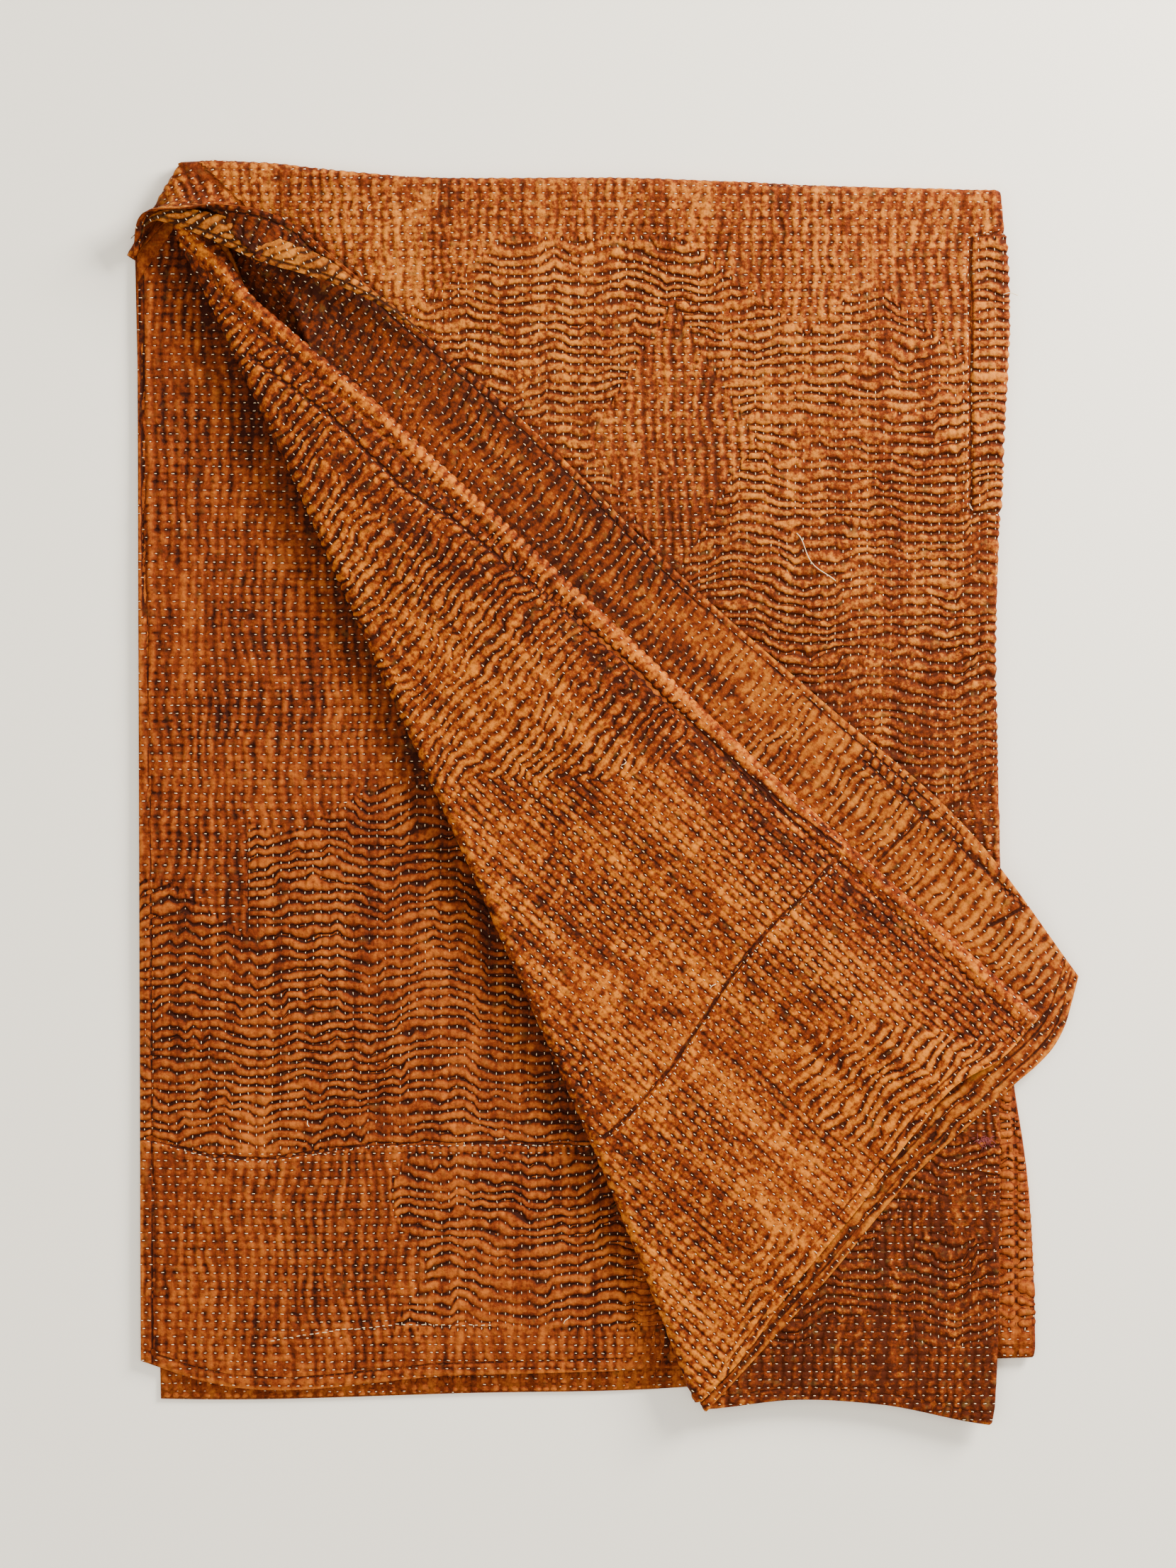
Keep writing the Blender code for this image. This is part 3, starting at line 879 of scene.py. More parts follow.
# How far inside those edges, and up to which height or place, a lower face is left out
UPPER_MARGIN = 16
UPPER_TOP = 22
LEFT_MARGIN = 26
LEFT_RIGHT_END = 300
LEFT_LOW_END = -455
BAND_MARGIN = 14
BAND_HIGH_END = 340


def upper_hidden(x, y, z):
    """Where the upper right panel lies well under the flap."""
    under = np.minimum(past(FLAP_HEM, x, y), past(FLAP_END, x, y))
    return (np.minimum(under, past(FLAP_FOLD, x, y)) > UPPER_MARGIN) & (z < UPPER_TOP)


def left_hidden(x, y, z):
    """Where the left panel lies well under the flap."""
    return (past(FLAP_FOLD, x, y) > LEFT_MARGIN) & (x < LEFT_RIGHT_END) & (y > LEFT_LOW_END)


def band_hidden(x, y, z):
    """Where the turned outer layer lies well under the turned inner one."""
    return (np.minimum(past(PANEL_RIDGE, x, y), past(PANEL_END, x, y)) > BAND_MARGIN) & (y < BAND_HIGH_END)


def on_patch(x, y):
    """Share of the patch's extra layer at a place."""
    _, (left, high), (_, low), _ = PATCH_SEAM
    return rise(x - left, PATCH_EDGE) * between(y, low, high + PATCH_TOP_GAP, PATCH_EDGE, PATCH_EDGE)


def make_face(name, rows, columns, zone, seed, material, side=-1, turn=0.0, hidden=None, hems=(), seams=(),
              rolled=False, tone=(0.0, 0.0), pull=1.0, raised=None, shades=()):
    """One visible side of some layers, puckered by its stitches; side is -1 for the face, 1 for the back."""
    flat = read_patch(sheet, rows, columns)
    x = flat[..., 0]
    y = flat[..., 1]
    normals = side * grid_normals(flat)
    height, fields = relief(flat, turn, zone, seed)
    height = height * pull + FACE_LIFT + THICKNESS / 2
    strength = fields["rows"][..., 2]
    strength *= pull
    # Darker or lighter along the throw, by tone; on the turned band, the deep face and the layers under the
    # flap's hem this is painted shade
    painted_light_and_wear = fields["painted_light_and_wear"] + np.interp(y, np.linspace(TONES_LOW, TONES_HIGH, len(tone)), tone)
    if raised is not None:
        height = height + PATCH_RISE * raised(x, y)
        painted_light_and_wear = painted_light_and_wear + PATCH_LIGHT * raised(x, y)
    wobble = WOBBLE * noise(x, y, WOBBLE_LENGTH, seed + WOBBLE_SEED)
    seam = np.full(painted_light_and_wear.shape, FAR)
    for path in seams:
        near = along_path(flat + wobble[..., None], path)
        seam = np.minimum(seam, near)
        swell = bell(near - BESIDE_SEAM, SWELL_WIDTH)
        height = height - SEAM_DEPTH * bell(near, SEAM_WIDTH) + SWELL_RISE * swell
        # Painted highlight on the swell beside the seam
        painted_light_and_wear = painted_light_and_wear + SWELL_HIGHLIGHT * swell
    for path, width, darkness in shades:
        painted_light_and_wear = painted_light_and_wear - darkness * bell(along_path(flat, path), width)
    for edge, lines in hems:
        far = from_edge(flat, edge)
        for line in lines:
            seam = np.minimum(seam, np.abs(far - line - wobble) + HEM_SOFTNESS)
            height = height - HEM_DEPTH * bell(far - line - wobble, SEAM_WIDTH)
        # Painted highlight along the hem's edge
        painted_light_and_wear = painted_light_and_wear + EDGE_HIGHLIGHT * bell(far - EDGE_HIGHLIGHT_PLACE, EDGE_HIGHLIGHT_WIDTH)
        height = blend(height, CORE_HALF, bell(far, EDGE_FALL))
    if rolled:
        far = from_edge(flat, "first_column")
        far = far - far[:, [int(np.argmin(np.abs(columns - RIDGE)))]]
        groove = far + ROLL_WIDTH + wobble
        seam = np.minimum(seam, np.abs(groove) + ROLL_FADING * rise(y - ROLL_TOP, ROLL_FADE))
        bulge = bell(far + ROLL_PLACE, ROLL_SPREAD)
        height = height * (1 - ROLL_SMOOTHING * bulge) + ROLL_RISE * bulge
        height = height - GROOVE_DEPTH * bell(groove, GROOVE_WIDTH)
        # Painted highlight on the roll
        painted_light_and_wear = painted_light_and_wear * (1 - (1 - ROLL_SHADE_KEPT) * bulge) + ROLL_HIGHLIGHT * bulge
        strength *= 1 - ROLL_STRENGTH_LOST * bulge
    fields["painted_light_and_wear"] = np.clip(painted_light_and_wear, 0, 1)
    fields["seam"] = seam
    points = flat + normals * height[..., None]
    piece = grid_mesh(name, points, fields, material, side < 0)
    centre = (points[:-1, :-1] + points[1:, 1:]) / 2
    kept = np.ones(centre.shape[:2], dtype=bool)
    if hidden is not None:
        kept = ~hidden(centre[..., 0], centre[..., 1], centre[..., 2])
        drop_quads(piece, ~kept)
    return piece, (points, normals, fields["runs"], fields["rows"], kept)


def drop_quads(piece, gone):
    """Delete the quads that lie well under another layer."""
    bm = bmesh.new()
    bm.from_mesh(piece.data)
    bm.faces.ensure_lookup_table()
    bmesh.ops.delete(bm, geom=[bm.faces[i] for i in np.nonzero(gone.ravel())[0]], context="FACES")
    bm.to_mesh(piece.data)
    bm.free()


def make_core(material):
    """The whole sheet under its faces, closed, and full where it has no face of its own."""
    index, (a, b, c, d) = grid_corners(*sheet.shape[:2])
    normals = grid_normals(sheet)
    back = np.full(index.shape, CORE_HALF)
    back[LOWER_TOP_ROW - CORE_OVERLAP:, :OUTER_END + CORE_OVERLAP] = THICKNESS / 2
    front = back.copy()
    front[LOWER_TOP_ROW:, OUTER_END + CORE_OVERLAP:INNER_START + CORE_INNER] = THICKNESS / 2
    upper = sheet + normals * back[..., None]
    lower = sheet - normals * front[..., None]
    points = np.concatenate((upper.reshape(-1, 3), lower.reshape(-1, 3)))
    far = index.size
    around = np.concatenate((index[:, 0], index[-1, 1:], index[-2::-1, -1], index[0, -2::-1]))
    rim = np.stack((around[:-1], far + around[:-1], far + around[1:], around[1:]), axis=1)
    quads = np.concatenate((np.stack((a, d, c, b), axis=1), far + np.stack((a, b, c, d), axis=1), rim))
    return quad_piece("throw_cloth", points, quads, material)


def quad_piece(name, points, quads, material):
    """A piece from points in millimetres and quads, or triangles given as quads with a doubled corner."""
    mesh = bpy.data.meshes.new(name)
    places = (points - np.array(BOX_MIDDLE)) * MM
    mesh.from_pydata(places.tolist(), [], [tuple(dict.fromkeys(quad)) for quad in quads.tolist()])
    mesh.update()
    set_field(mesh, "painted_light_and_wear", np.full(len(mesh.vertices), PLAIN_DEPTH))
    set_field(mesh, "seam", np.full(len(mesh.vertices), FAR))
    return finish_piece(name, mesh, material)


def unit(vectors):
    """Rows of vectors at length one."""
    return vectors / np.maximum(np.linalg.norm(vectors, axis=1, keepdims=True), 1e-9)


def tube(path, radius, sides):
    """Points and quads of a tube along a path, closed at both ends."""
    heading = unit(np.gradient(path, axis=0))
    side = unit(np.cross(heading, (0.0, 0.0, 1.0)))
    up = np.cross(side, heading)
    angles = [2 * math.pi * step / sides for step in range(sides)]
    rings = np.stack([path + radius * (side * math.cos(a) + up * math.sin(a)) for a in angles], axis=1)
    body = np.concatenate((path[:1], rings.reshape(-1, 3), path[-1:]))
    i = 1 + np.arange(len(path) - 1) * sides
    end = 1 + (len(path) - 1) * sides
    quads = []
    for step in range(sides):
        after = (step + 1) % sides
        quads.append(np.stack((i + step, i + after, i + sides + after, i + sides + step), axis=1))
        quads.append(np.array([[0, 1 + after, 1 + step, 1 + step]]))
        quads.append(np.array([[end + step, end + after, end + sides, end + sides]]))
    return body, np.concatenate(quads)


def set_ramp(ramp, stops):
    """Give a colour ramp its places and colours."""
    while len(ramp.elements) > 1:
        ramp.elements.remove(ramp.elements[-1])
    ramp.elements[0].position = stops[0][0]
    ramp.elements[0].color = (*stops[0][1], 1.0)
    for place, color in stops[1:]:
        ramp.elements.new(place).color = (*color, 1.0)


def linear(*color):
    """A colour on screen, 0 to 255, as the shader's linear values."""
    return tuple((v / 255 / 12.92) if v < 10.3 else ((v / 255 + 0.055) / 1.055) ** 2.4 for v in color)


# Colours on screen of each cloth: in the puckers' valleys, between, on their tops, and of its flecks. The
# valley colour carries painted shade, and the top colour carries painted highlight with some wear. The upper,
# left and flap cottons are one cloth: the left copy is darker as painted shade, and the flap's tops are
# brighter as painted highlight.
UPPER_COLORS = ((66, 22, 3), (110, 43, 6), (189, 111, 33), (106, 74, 32))
LEFT_SHADED_COLORS = ((44, 11, 1), (107, 40, 6), (172, 91, 26), (96, 56, 20))
FLAP_COLORS = ((50, 14, 1), (114, 42, 5), (200, 113, 22), (106, 66, 22))
BACK_COLORS = ((48, 14, 1), (109, 41, 4), (182, 104, 24), (102, 66, 22))
GOLD_COLORS = ((54, 22, 3), (120, 58, 8), (186, 112, 34), (104, 72, 28))
CREAM = (238, 208, 160)
DARK_RED = (104, 16, 10)
FLOOR_COLOR = (255, 248, 231)

# Where the valleys', middle and tops' colours lie, and where flecks start and are strongest
COLOR_PLACES = (0.05, 0.36, 0.78)
FLECKS = [(0.60, (0, 0, 0)), (0.74, (0.55, 0.55, 0.55))]

# Unevenness of the dye: each texture's scale, detail and stretch, and how far it moves the colour
CLOUDS = (9.0, 3.0, (1, 1, 1), 0.35)
STREAKS = (14.0, 4.0, (0.17, 2.6, 1), 0.85)
BLOTS = (190.0, 3.0, (1, 1, 1), 1.15)
GRAIN = (420.0, 2.0, (1, 1, 1), 0.45)
# Middle of the colour ramp, how strongly the painted light and wear field moves the colour, and the painted
# shade in the creases and in the grooves of seams, hems and the roll
MIDDLE_COLOR = 0.45
PAINTED_LIGHT_WEIGHT = 0.5
CREASE_PAINTED_SHADE = 0.40
SEAM_PAINTED_SHADE = 0.25

# How deep the creases, the rows' lines and the stitches' dimples are in the three patterns of stitches
ACROSS_ROWS = 0.16
ACROSS_DIMPLES = 0.42
ALONG_CREASES = 1.02
ALONG_ROWS = 0.20
LINED_ROWS = 0.85
LINED_CREASES = 0.25
LINED_DIMPLES = 0.3


def cloth_material(name, colors, turn=0.0, mottle=1.0, lines=0.34):
    """Overdyed cotton: darker in the puckers' valleys as painted shade, lighter on their tops as painted
    highlight with some wear, streaked and flecked.
    """
    dark, middle, light, fleck = (linear(*color) for color in colors)
    material = bpy.data.materials.new(name)
    material.use_nodes = True
    nodes = material.node_tree.nodes
    links = material.node_tree.links
    shader = nodes["Principled BSDF"]
    shader.inputs["Roughness"].default_value = 0.86
    shader.inputs["Specular IOR Level"].default_value = 0.12
    where = nodes.new("ShaderNodeTexCoord").outputs["Object"]

    def texture(scale, detail, stretch=(1, 1, 1)):
        mapping = nodes.new("ShaderNodeMapping")
        mapping.vector_type = "TEXTURE"
        mapping.inputs["Rotation"].default_value = (0, 0, turn)
        mapping.inputs["Scale"].default_value = stretch
        links.new(where, mapping.inputs["Vector"])
        node = nodes.new("ShaderNodeTexNoise")
        node.inputs["Scale"].default_value = scale
        node.inputs["Detail"].default_value = detail
        node.inputs["Roughness"].default_value = 0.62
        links.new(mapping.outputs["Vector"], node.inputs["Vector"])
        return node.outputs["Fac"]

    def math_node(operation, first, second, clamp=False):
        node = nodes.new("ShaderNodeMath")
        node.operation = operation
        node.use_clamp = clamp
        for socket, value in zip(node.inputs, (first, second)):
            if isinstance(value, (int, float)):
                socket.default_value = value
            else:
                links.new(value, socket)
        return node.outputs[0]

    def times(first, second):
        return math_node("MULTIPLY", first, second)

    def minus(first, second, clamp=False):
        return math_node("SUBTRACT", first, second, clamp)

    def total(*parts):
        products = [times(value, weight) for value, weight in parts]
        found = products[0]
        for product in products[1:]:
            found = math_node("ADD", found, product)
        return found

    def field(name):
        node = nodes.new("ShaderNodeAttribute")
        node.attribute_name = name
        return node.outputs

    def parts(name):
        node = nodes.new("ShaderNodeSeparateXYZ")
        links.new(field(name)["Vector"], node.inputs["Vector"])
        return node.outputs

    def crease(passed, narrow):
        swing = math_node("COSINE", times(passed, 2 * math.pi), 0.0)
        return math_node("POWER", math_node("ADD", times(swing, 0.4999), 0.5), narrow)

    def dimple(run, row):
        return times(crease(run, 1.5), crease(row, 2.0))

    def bump(height, strength, distance, under=None):
        node = nodes.new("ShaderNodeBump")
        node.inputs["Strength"].default_value = strength
        node.inputs["Distance"].default_value = distance
        links.new(height, node.inputs["Height"])
        if under is not None:
            links.new(under.outputs["Normal"], node.inputs["Normal"])
        return node

    runs = parts("runs")
    rows = parts("rows")
    straight = field("straight")["Fac"]
    across = total((crease(straight, 2.0), lines), (crease(rows[0], 5.0), ACROSS_ROWS),
                   (dimple(runs[0], rows[0]), ACROSS_DIMPLES))
    along = total((crease(runs[1], 4.0), ALONG_CREASES), (crease(rows[1], 2.0), ALONG_ROWS))
    lined = total((crease(rows[1], 3.0), LINED_ROWS), (crease(runs[1], 4.0), LINED_CREASES),
                  (dimple(runs[1], rows[1]), LINED_DIMPLES))
    twice = times(runs[2], 2.0)
    far = minus(1.0, twice, True)
    near = minus(twice, 1.0, True)
    halfway = minus(minus(1.0, far), near)
    valley = times(total((across, far), (along, near), (lined, halfway)), rows[2])
    valley = times(valley, math_node("ADD", times(texture(125.0, 1.0), 2.6), -0.25))
    sewn = math_node("DIVIDE", field("seam")["Fac"], 1.9)
    sewn = math_node("POWER", minus(1.0, sewn, True), 0.8)
    valley = math_node("MAXIMUM", valley, times(sewn, 1.15))

    value = math_node("ADD", MIDDLE_COLOR, times(minus(field("painted_light_and_wear")["Fac"], 0.5), PAINTED_LIGHT_WEIGHT))
    # Painted shade in the creases
    value = minus(value, times(valley, CREASE_PAINTED_SHADE))
    for look, share in ((CLOUDS, 1), (STREAKS, 1), (BLOTS, mottle), (GRAIN, mottle)):
        value = math_node("ADD", value, times(minus(texture(*look[:3]), 0.5), look[3] * share))
    # Painted shade in the grooves of seams, hems and the roll
    value = minus(value, times(sewn, SEAM_PAINTED_SHADE), True)
    ramp = nodes.new("ShaderNodeValToRGB")
    set_ramp(ramp.color_ramp, list(zip(COLOR_PLACES, (dark, middle, light))))
    links.new(value, ramp.inputs["Fac"])
    spots = nodes.new("ShaderNodeValToRGB")
    set_ramp(spots.color_ramp, FLECKS)
    links.new(texture(120.0, 2.0), spots.inputs["Fac"])
    mix = nodes.new("ShaderNodeMix")
    mix.data_type = "RGBA"
    links.new(spots.outputs["Color"], mix.inputs[0])
    links.new(ramp.outputs["Color"], mix.inputs[6])
    mix.inputs[7].default_value = (*fleck, 1.0)
    links.new(mix.outputs[2], shader.inputs["Base Color"])

    threads = nodes.new("ShaderNodeTexNoise")
    threads.inputs["Scale"].default_value = 900.0
    threads.inputs["Detail"].default_value = 2.0
    links.new(where, threads.inputs["Vector"])
    weave = bump(threads.outputs["Fac"], 0.35, 0.0005)
    lump = bump(texture(240.0, 2.0), 0.5, 0.0016, weave)
    fold = bump(valley, 1.0, 0.0011, lump)
    fold.invert = True
    links.new(fold.outputs["Normal"], shader.inputs["Normal"])
    return material


def plain_material(name, color, roughness, sheen=0.0):
    """One colour, for threads and the floor."""
    material = bpy.data.materials.new(name)
    material.use_nodes = True
    shader = material.node_tree.nodes["Principled BSDF"]
    shader.inputs["Base Color"].default_value = (*linear(*color), 1.0)
    shader.inputs["Roughness"].default_value = roughness
    shader.inputs["Sheen Weight"].default_value = sheen
    return material


upper_cloth = cloth_material("cotton_upper", UPPER_COLORS, 0.0, 1.35, 0.27)
# The left panel's copy of the cotton, darker as painted shade
left_shaded_cloth = cloth_material("cotton_left_shaded", LEFT_SHADED_COLORS, 0.0, 0.75, 0.27)
flap_cloth = cloth_material("cotton_flap", FLAP_COLORS, FLAP_TURN, 1.15)
back_cloth = cloth_material("cotton_back", BACK_COLORS, FLAP_TURN, 0.9)
thread = plain_material("cream_thread", CREAM, 0.7, 0.2)

sheet = settle(folded_grid())
core = make_core(left_shaded_cloth)


def line_of(column, last):
    """Path of one column of the sheet from the hem up to a row, seen from above."""
    return [tuple(place) for place in sheet[0:last:PATH_STEP, column, :2]]


# Lines that throw soft shades beside them
PATH_STEP = 6
RIDGE_LINE = line_of(RIDGE, UPPER_ROWS - 4)
BAND_HEM_LINE = line_of(0, UPPER_ROWS - 12)
FLAP_FOLD_LINE = line_of(INNER_FOLD + ROLL_STEPS // 2, UPPER_ROWS - 4)

# The inner layer's back, which shows deep between the ridge and the turned outer layer near the top, darkened
# as painted shade
DEEP_ROWS = (60, 93)
DEEP_COLUMNS = (82, 97)

# The flap in two halves, which keeps each mesh small: where they meet, and what they share
FLAP_HALF = row_at(0.42)
FLAP_COLUMN = INNER_FOLD + ROLL_STEPS + PANEL_STEPS // 2
FLAP_COLUMNS = (INNER_FOLD - 1, RIDGE + EDGE_STEPS)
FLAP_LOOKS = {"turn": FLAP_TURN, "seams": [FLAP_SEAM, FLAP_CROSS_SEAM], "rolled": True, "tone": (0.14, -0.16),
              "pull": 0.7, "shades": [(RIDGE_LINE, 50.0, 0.28)]}

# The turned outer layer and the cone at its top; the band is darkened towards the top and under the flap's
# hem as painted shade
BAND_COLUMN = PANEL_STEPS // 6
BAND_TOP_ROW = UPPER_ROWS + FOLD_ROWS // 2

# Each visible side: its rows and columns, zone of stitches, seed and cloth, and what is sewn and shaded on it
dressed = [
    make_face("face_deep", down(DEEP_COLUMNS[1], *DEEP_ROWS), over(sum(DEEP_ROWS) // 2, *DEEP_COLUMNS),
              zone_band, 7, back_cloth, side=1, turn=FLAP_TURN, tone=(-0.5, -0.6), pull=0.5),
    make_face("face_lowest", np.linspace(LAST_ROW - 1.6, LAST_ROW, 16),
              over(LAST_ROW, 1, OUTER_END + EDGE_STEPS // 2),
              zone_left_panel, 6, left_shaded_cloth, side=1, hems=[("last_row", (6,))], tone=(-0.1, -0.1)),
    make_face("face_upper", down(OUTER_FOLD + FLAT_STEPS // 2, 0, LOWER_TOP_ROW - FOLD_ROWS // 3),
              over(row_at(0.5), OUTER_FOLD, OUTER_END + EDGE_STEPS // 2, 0.8),
              zone_upper_right, 1, upper_cloth, hidden=upper_hidden, hems=[("first_row", (8,))],
              seams=[PATCH_SEAM, SMALL_PATCH_SEAM], tone=(-0.55, 0.12), raised=on_patch,
              shades=[(BAND_HEM_LINE, 5.0, 0.5)]),
    make_face("face_left", down(INNER_FOLD + ROLL_STEPS, LOWER_TOP_ROW + 1, LAST_ROW),
              over(LAST_ROW - LOWER_ROWS // 3, INNER_START - 3, LAST_COLUMN),
              zone_left_panel, 2, left_shaded_cloth, hidden=left_hidden,
              hems=[("last_row", (9,)), ("last_column", (9,))],
              seams=[LEFT_SEAM, LEFT_EDGE_SEAM, RIGHT_STEP], tone=(0.04, -0.12),
              shades=[(FLAP_FOLD_LINE, 14.0, 0.5)]),
    make_face("face_flap_low", down(FLAP_COLUMN, 0, FLAP_HALF), over(row_at(0.16), *FLAP_COLUMNS),
              zone_flap, 3, flap_cloth, hems=[("first_row", (8,))], **FLAP_LOOKS),
    make_face("face_flap_high", down(FLAP_COLUMN, FLAP_HALF, UPPER_ROWS - 2),
              over(row_at(0.5), *FLAP_COLUMNS),
              zone_flap, 3, flap_cloth, **FLAP_LOOKS),
    make_face("face_band", down(BAND_COLUMN, 0, BAND_TOP_ROW), over(row_at(0.3), 0, OUTER_FOLD - 1, 1.15),
              zone_band, 4, back_cloth, side=1, turn=FLAP_TURN, hidden=band_hidden,
              hems=[("first_row", (8, 19)), ("first_column", (6,))], seams=[BAND_SEAM, BAND_END_EDGE],
              tone=(-0.25, 0.06, -0.9), pull=0.5, shades=[(RIDGE_LINE, 9.0, 0.5), (BAND_END_EDGE, 5.0, 0.4)]),
    make_face("face_cone", down(BAND_COLUMN, row_at(0.72), BAND_TOP_ROW),
              over(row_at(0.9), 0, OUTER_FOLD, 0.7),
              zone_left_panel, 5, upper_cloth, turn=FLAP_TURN / 2, hems=[("first_column", (7, 14))]),
]
pieces = [face for face, surface in dressed]


def crossings(points, normals, run, row, wanted, kept):
    """Where a run and a row both reach whole numbers: the place, its normal and the row's heading there."""
    def changes(values):
        corner = values[:-1, :-1]
        return corner, values[:-1, 1:] - corner, values[1:, :-1] - corner

    corner, aside, below = changes(points)
    run_0, run_s, run_t = changes(run)
    row_0, row_s, row_t = changes(row)
    turn = run_s * row_t - run_t * row_s
    turn = np.where(np.abs(turn) < 1e-9, 1e-9, turn)
    run_gap = np.round(run_0 + (run_s + run_t) / 2) - run_0
    row_gap = np.round(row_0 + (row_s + row_t) / 2) - row_0
    s = (run_gap * row_t - row_gap * run_t) / turn
    t = (run_s * row_gap - row_s * run_gap) / turn
    inside = (s >= 0) & (s < 1) & (t >= 0) & (t < 1) & kept & wanted[:-1, :-1]
    place = corner + aside * s[..., None] + below * t[..., None]
    heading = aside * row_t[..., None] - below * row_s[..., None]
    return place[inside], normals[:-1, :-1][inside], heading[inside]


def stitch_meshes(name, surface):
    """Cream running stitches over a puckered face."""
    points, normals, runs, rows, kept = surface
    share = runs[..., 2]
    sets = [crossings(points, normals, runs[..., 0], rows[..., 0], share < 0.5, kept),
            crossings(points, normals, runs[..., 1], rows[..., 1], share >= 0.5, kept)]
    place, up, heading = (np.concatenate(both) for both in zip(*sets))
    return thread_piece("stitches_" + name, place, up, heading, STITCH_LENGTH, thread)


# How much the stitches differ, and where along its half a stitch starts to go down
STITCH_SWING = 0.10
LENGTH_SPREAD = (0.72, 1.2)
WIDTH_SPREAD = (0.85, 1.15)
LIFT_SPREAD = (0.8, 1.3)
STITCH_SHOULDER = 0.45
FOOT_SINK = 0.1
STITCH_QUADS = np.array([[0, 2, 1, 1], [0, 3, 2, 2], [1, 2, 5, 4], [2, 3, 6, 5], [4, 5, 7, 7], [5, 6, 7, 7]])


def thread_piece(name, place, up, heading, length, material):
    """Short low ridges of thread at the given places, whose ends go down into the cloth."""
    count = len(place)
    heading = unit(heading)
    side = np.cross(up, heading)
    heading = heading + side * rng.normal(0, STITCH_SWING, (count, 1))
    size = (length * rng.uniform(*LENGTH_SPREAD, (count, 1))) / 2
    width = STITCH_RADIUS * rng.uniform(*WIDTH_SPREAD, (count, 1))
    lift = STITCH_RISE * rng.uniform(*LIFT_SPREAD, (count, 1))
    corners = [place - heading * size - up * STITCH_SINK]
    for end in (-STITCH_SHOULDER, STITCH_SHOULDER):
        middle = place + heading * size * end
        foot = middle - up * FOOT_SINK
        corners += [foot - side * width, middle + up * lift, foot + side * width]
    corners.append(place + heading * size - up * STITCH_SINK)
    body = np.stack(corners, axis=1).reshape(-1, 3)
    quads = STITCH_QUADS + len(corners) * np.arange(count)[:, None, None]
    return quad_piece(name, body, quads.reshape(-1, 4), material)


for face, surface in dressed:
    pieces.append(stitch_meshes(face.name.removeprefix("face_"), surface))

# The golden reverse that shows where the outer layer turns over at the top left corner: its free edge,
# its root, how finely it is divided, how far it swells, and its sewn line
LAPEL_EDGE = ((-384, 448, 14), (-366, 460, 28), (-352, 459, 33), (-319, 446, 37), (-276, 427, 37),
              (-237, 416, 36), (-211, 407, 34), (-180, 392, 32), (-146, 368, 29))
LAPEL_ROOT = ((-381, 452, 16), (-364, 466, 28), (-344, 470, 35), (-308, 464, 39), (-268, 448, 38),
              (-228, 432, 36), (-203, 415, 33), (-172, 394, 30), (-140, 366, 27))
LAPEL_STEPS = (150, 16)
LAPEL_SWELL = 2.0
LAPEL_TURN = 0.5
LAPEL_PULL = 0.6
LAPEL_HEM = 4.5


def make_lapel():
    """The golden reverse and its surface for the stitches."""
    places = np.linspace(0, len(LAPEL_EDGE) - 1, LAPEL_STEPS[0])
    lines = (np.array(line, dtype=float)[:, None, :] for line in (LAPEL_EDGE, LAPEL_ROOT))
    edge, root = (read_smooth(line, places) for line in lines)
    share = np.linspace(0, 1, LAPEL_STEPS[1])[None, :, None]
    flat = blend(edge, root, share)
    flat[..., 2] += LAPEL_SWELL * np.sin(math.pi * share[..., 0])
    height, fields = relief(flat, LAPEL_TURN, zone_band, 9)
    normals = grid_normals(flat)
    normals = normals * np.sign(normals[..., 2:])
    points = flat + normals * (height * LAPEL_PULL)[..., None]
    fields["seam"] = np.abs(np.linalg.norm(flat - flat[:, :1], axis=-1) - LAPEL_HEM) + 0.3
    piece = grid_mesh("lapel", points, fields, cloth_material("cotton_gold", GOLD_COLORS, LAPEL_TURN), False)
    kept = np.ones((points.shape[0] - 1, points.shape[1] - 1), dtype=bool)
    return piece, (points, normals, fields["runs"], fields["rows"], kept)


lapel, lapel_surface = make_lapel()
pieces += [lapel, stitch_meshes("lapel", lapel_surface)]


# Height in metres from which rays look down on the cloth
RAY_HEIGHT = 0.3


def above_place(x, y, height):
    """A point in the scene at a height over a place, in metres."""
    return Vector(((x - BOX_MIDDLE[0]) * MM, (y - BOX_MIDDLE[1]) * MM, height))


def surface_at(x, y):
    """Top of what lies at a place, and its normal, found with a ray from above."""
    above = above_place(x, y, RAY_HEIGHT)
    depsgraph = bpy.context.evaluated_depsgraph_get()
    hit, place, normal, _, _, _ = bpy.context.scene.ray_cast(depsgraph, above, Vector((0, 0, -1)))
    return (np.array(place) / MM + np.array(BOX_MIDDLE), np.array(normal)) if hit else None


def hand_stitches(name, paths, pitch, length):
    """Stitches along given lines over the top of the cloth."""
    found = []
    for path in paths:
        path = np.array(path, dtype=float)
        far = lengths(path)
        for step in np.arange(pitch / 2, far[-1], pitch):
            x, y = (np.interp(step, far, path[:, axis]) for axis in (0, 1))
            ahead_x, ahead_y = (np.interp(step + 1, far, path[:, axis]) for axis in (0, 1))
            surface = surface_at(x + rng.normal(0, 0.25), y + rng.normal(0, 0.25))
            if surface is not None and (ahead_x, ahead_y) != (x, y):
                found.append((*surface, np.array((ahead_x - x, ahead_y - y, 0.0))))
    return thread_piece(name, *(np.array(one) for one in zip(*found)), length, thread)


def beside(path, offset):
    """A path moved sideways, to its left for positive offsets."""
    line = np.array(path, dtype=float)
    ahead = unit(np.gradient(line, axis=0))
    return line + offset * np.stack((-ahead[:, 1], ahead[:, 0]), axis=1)


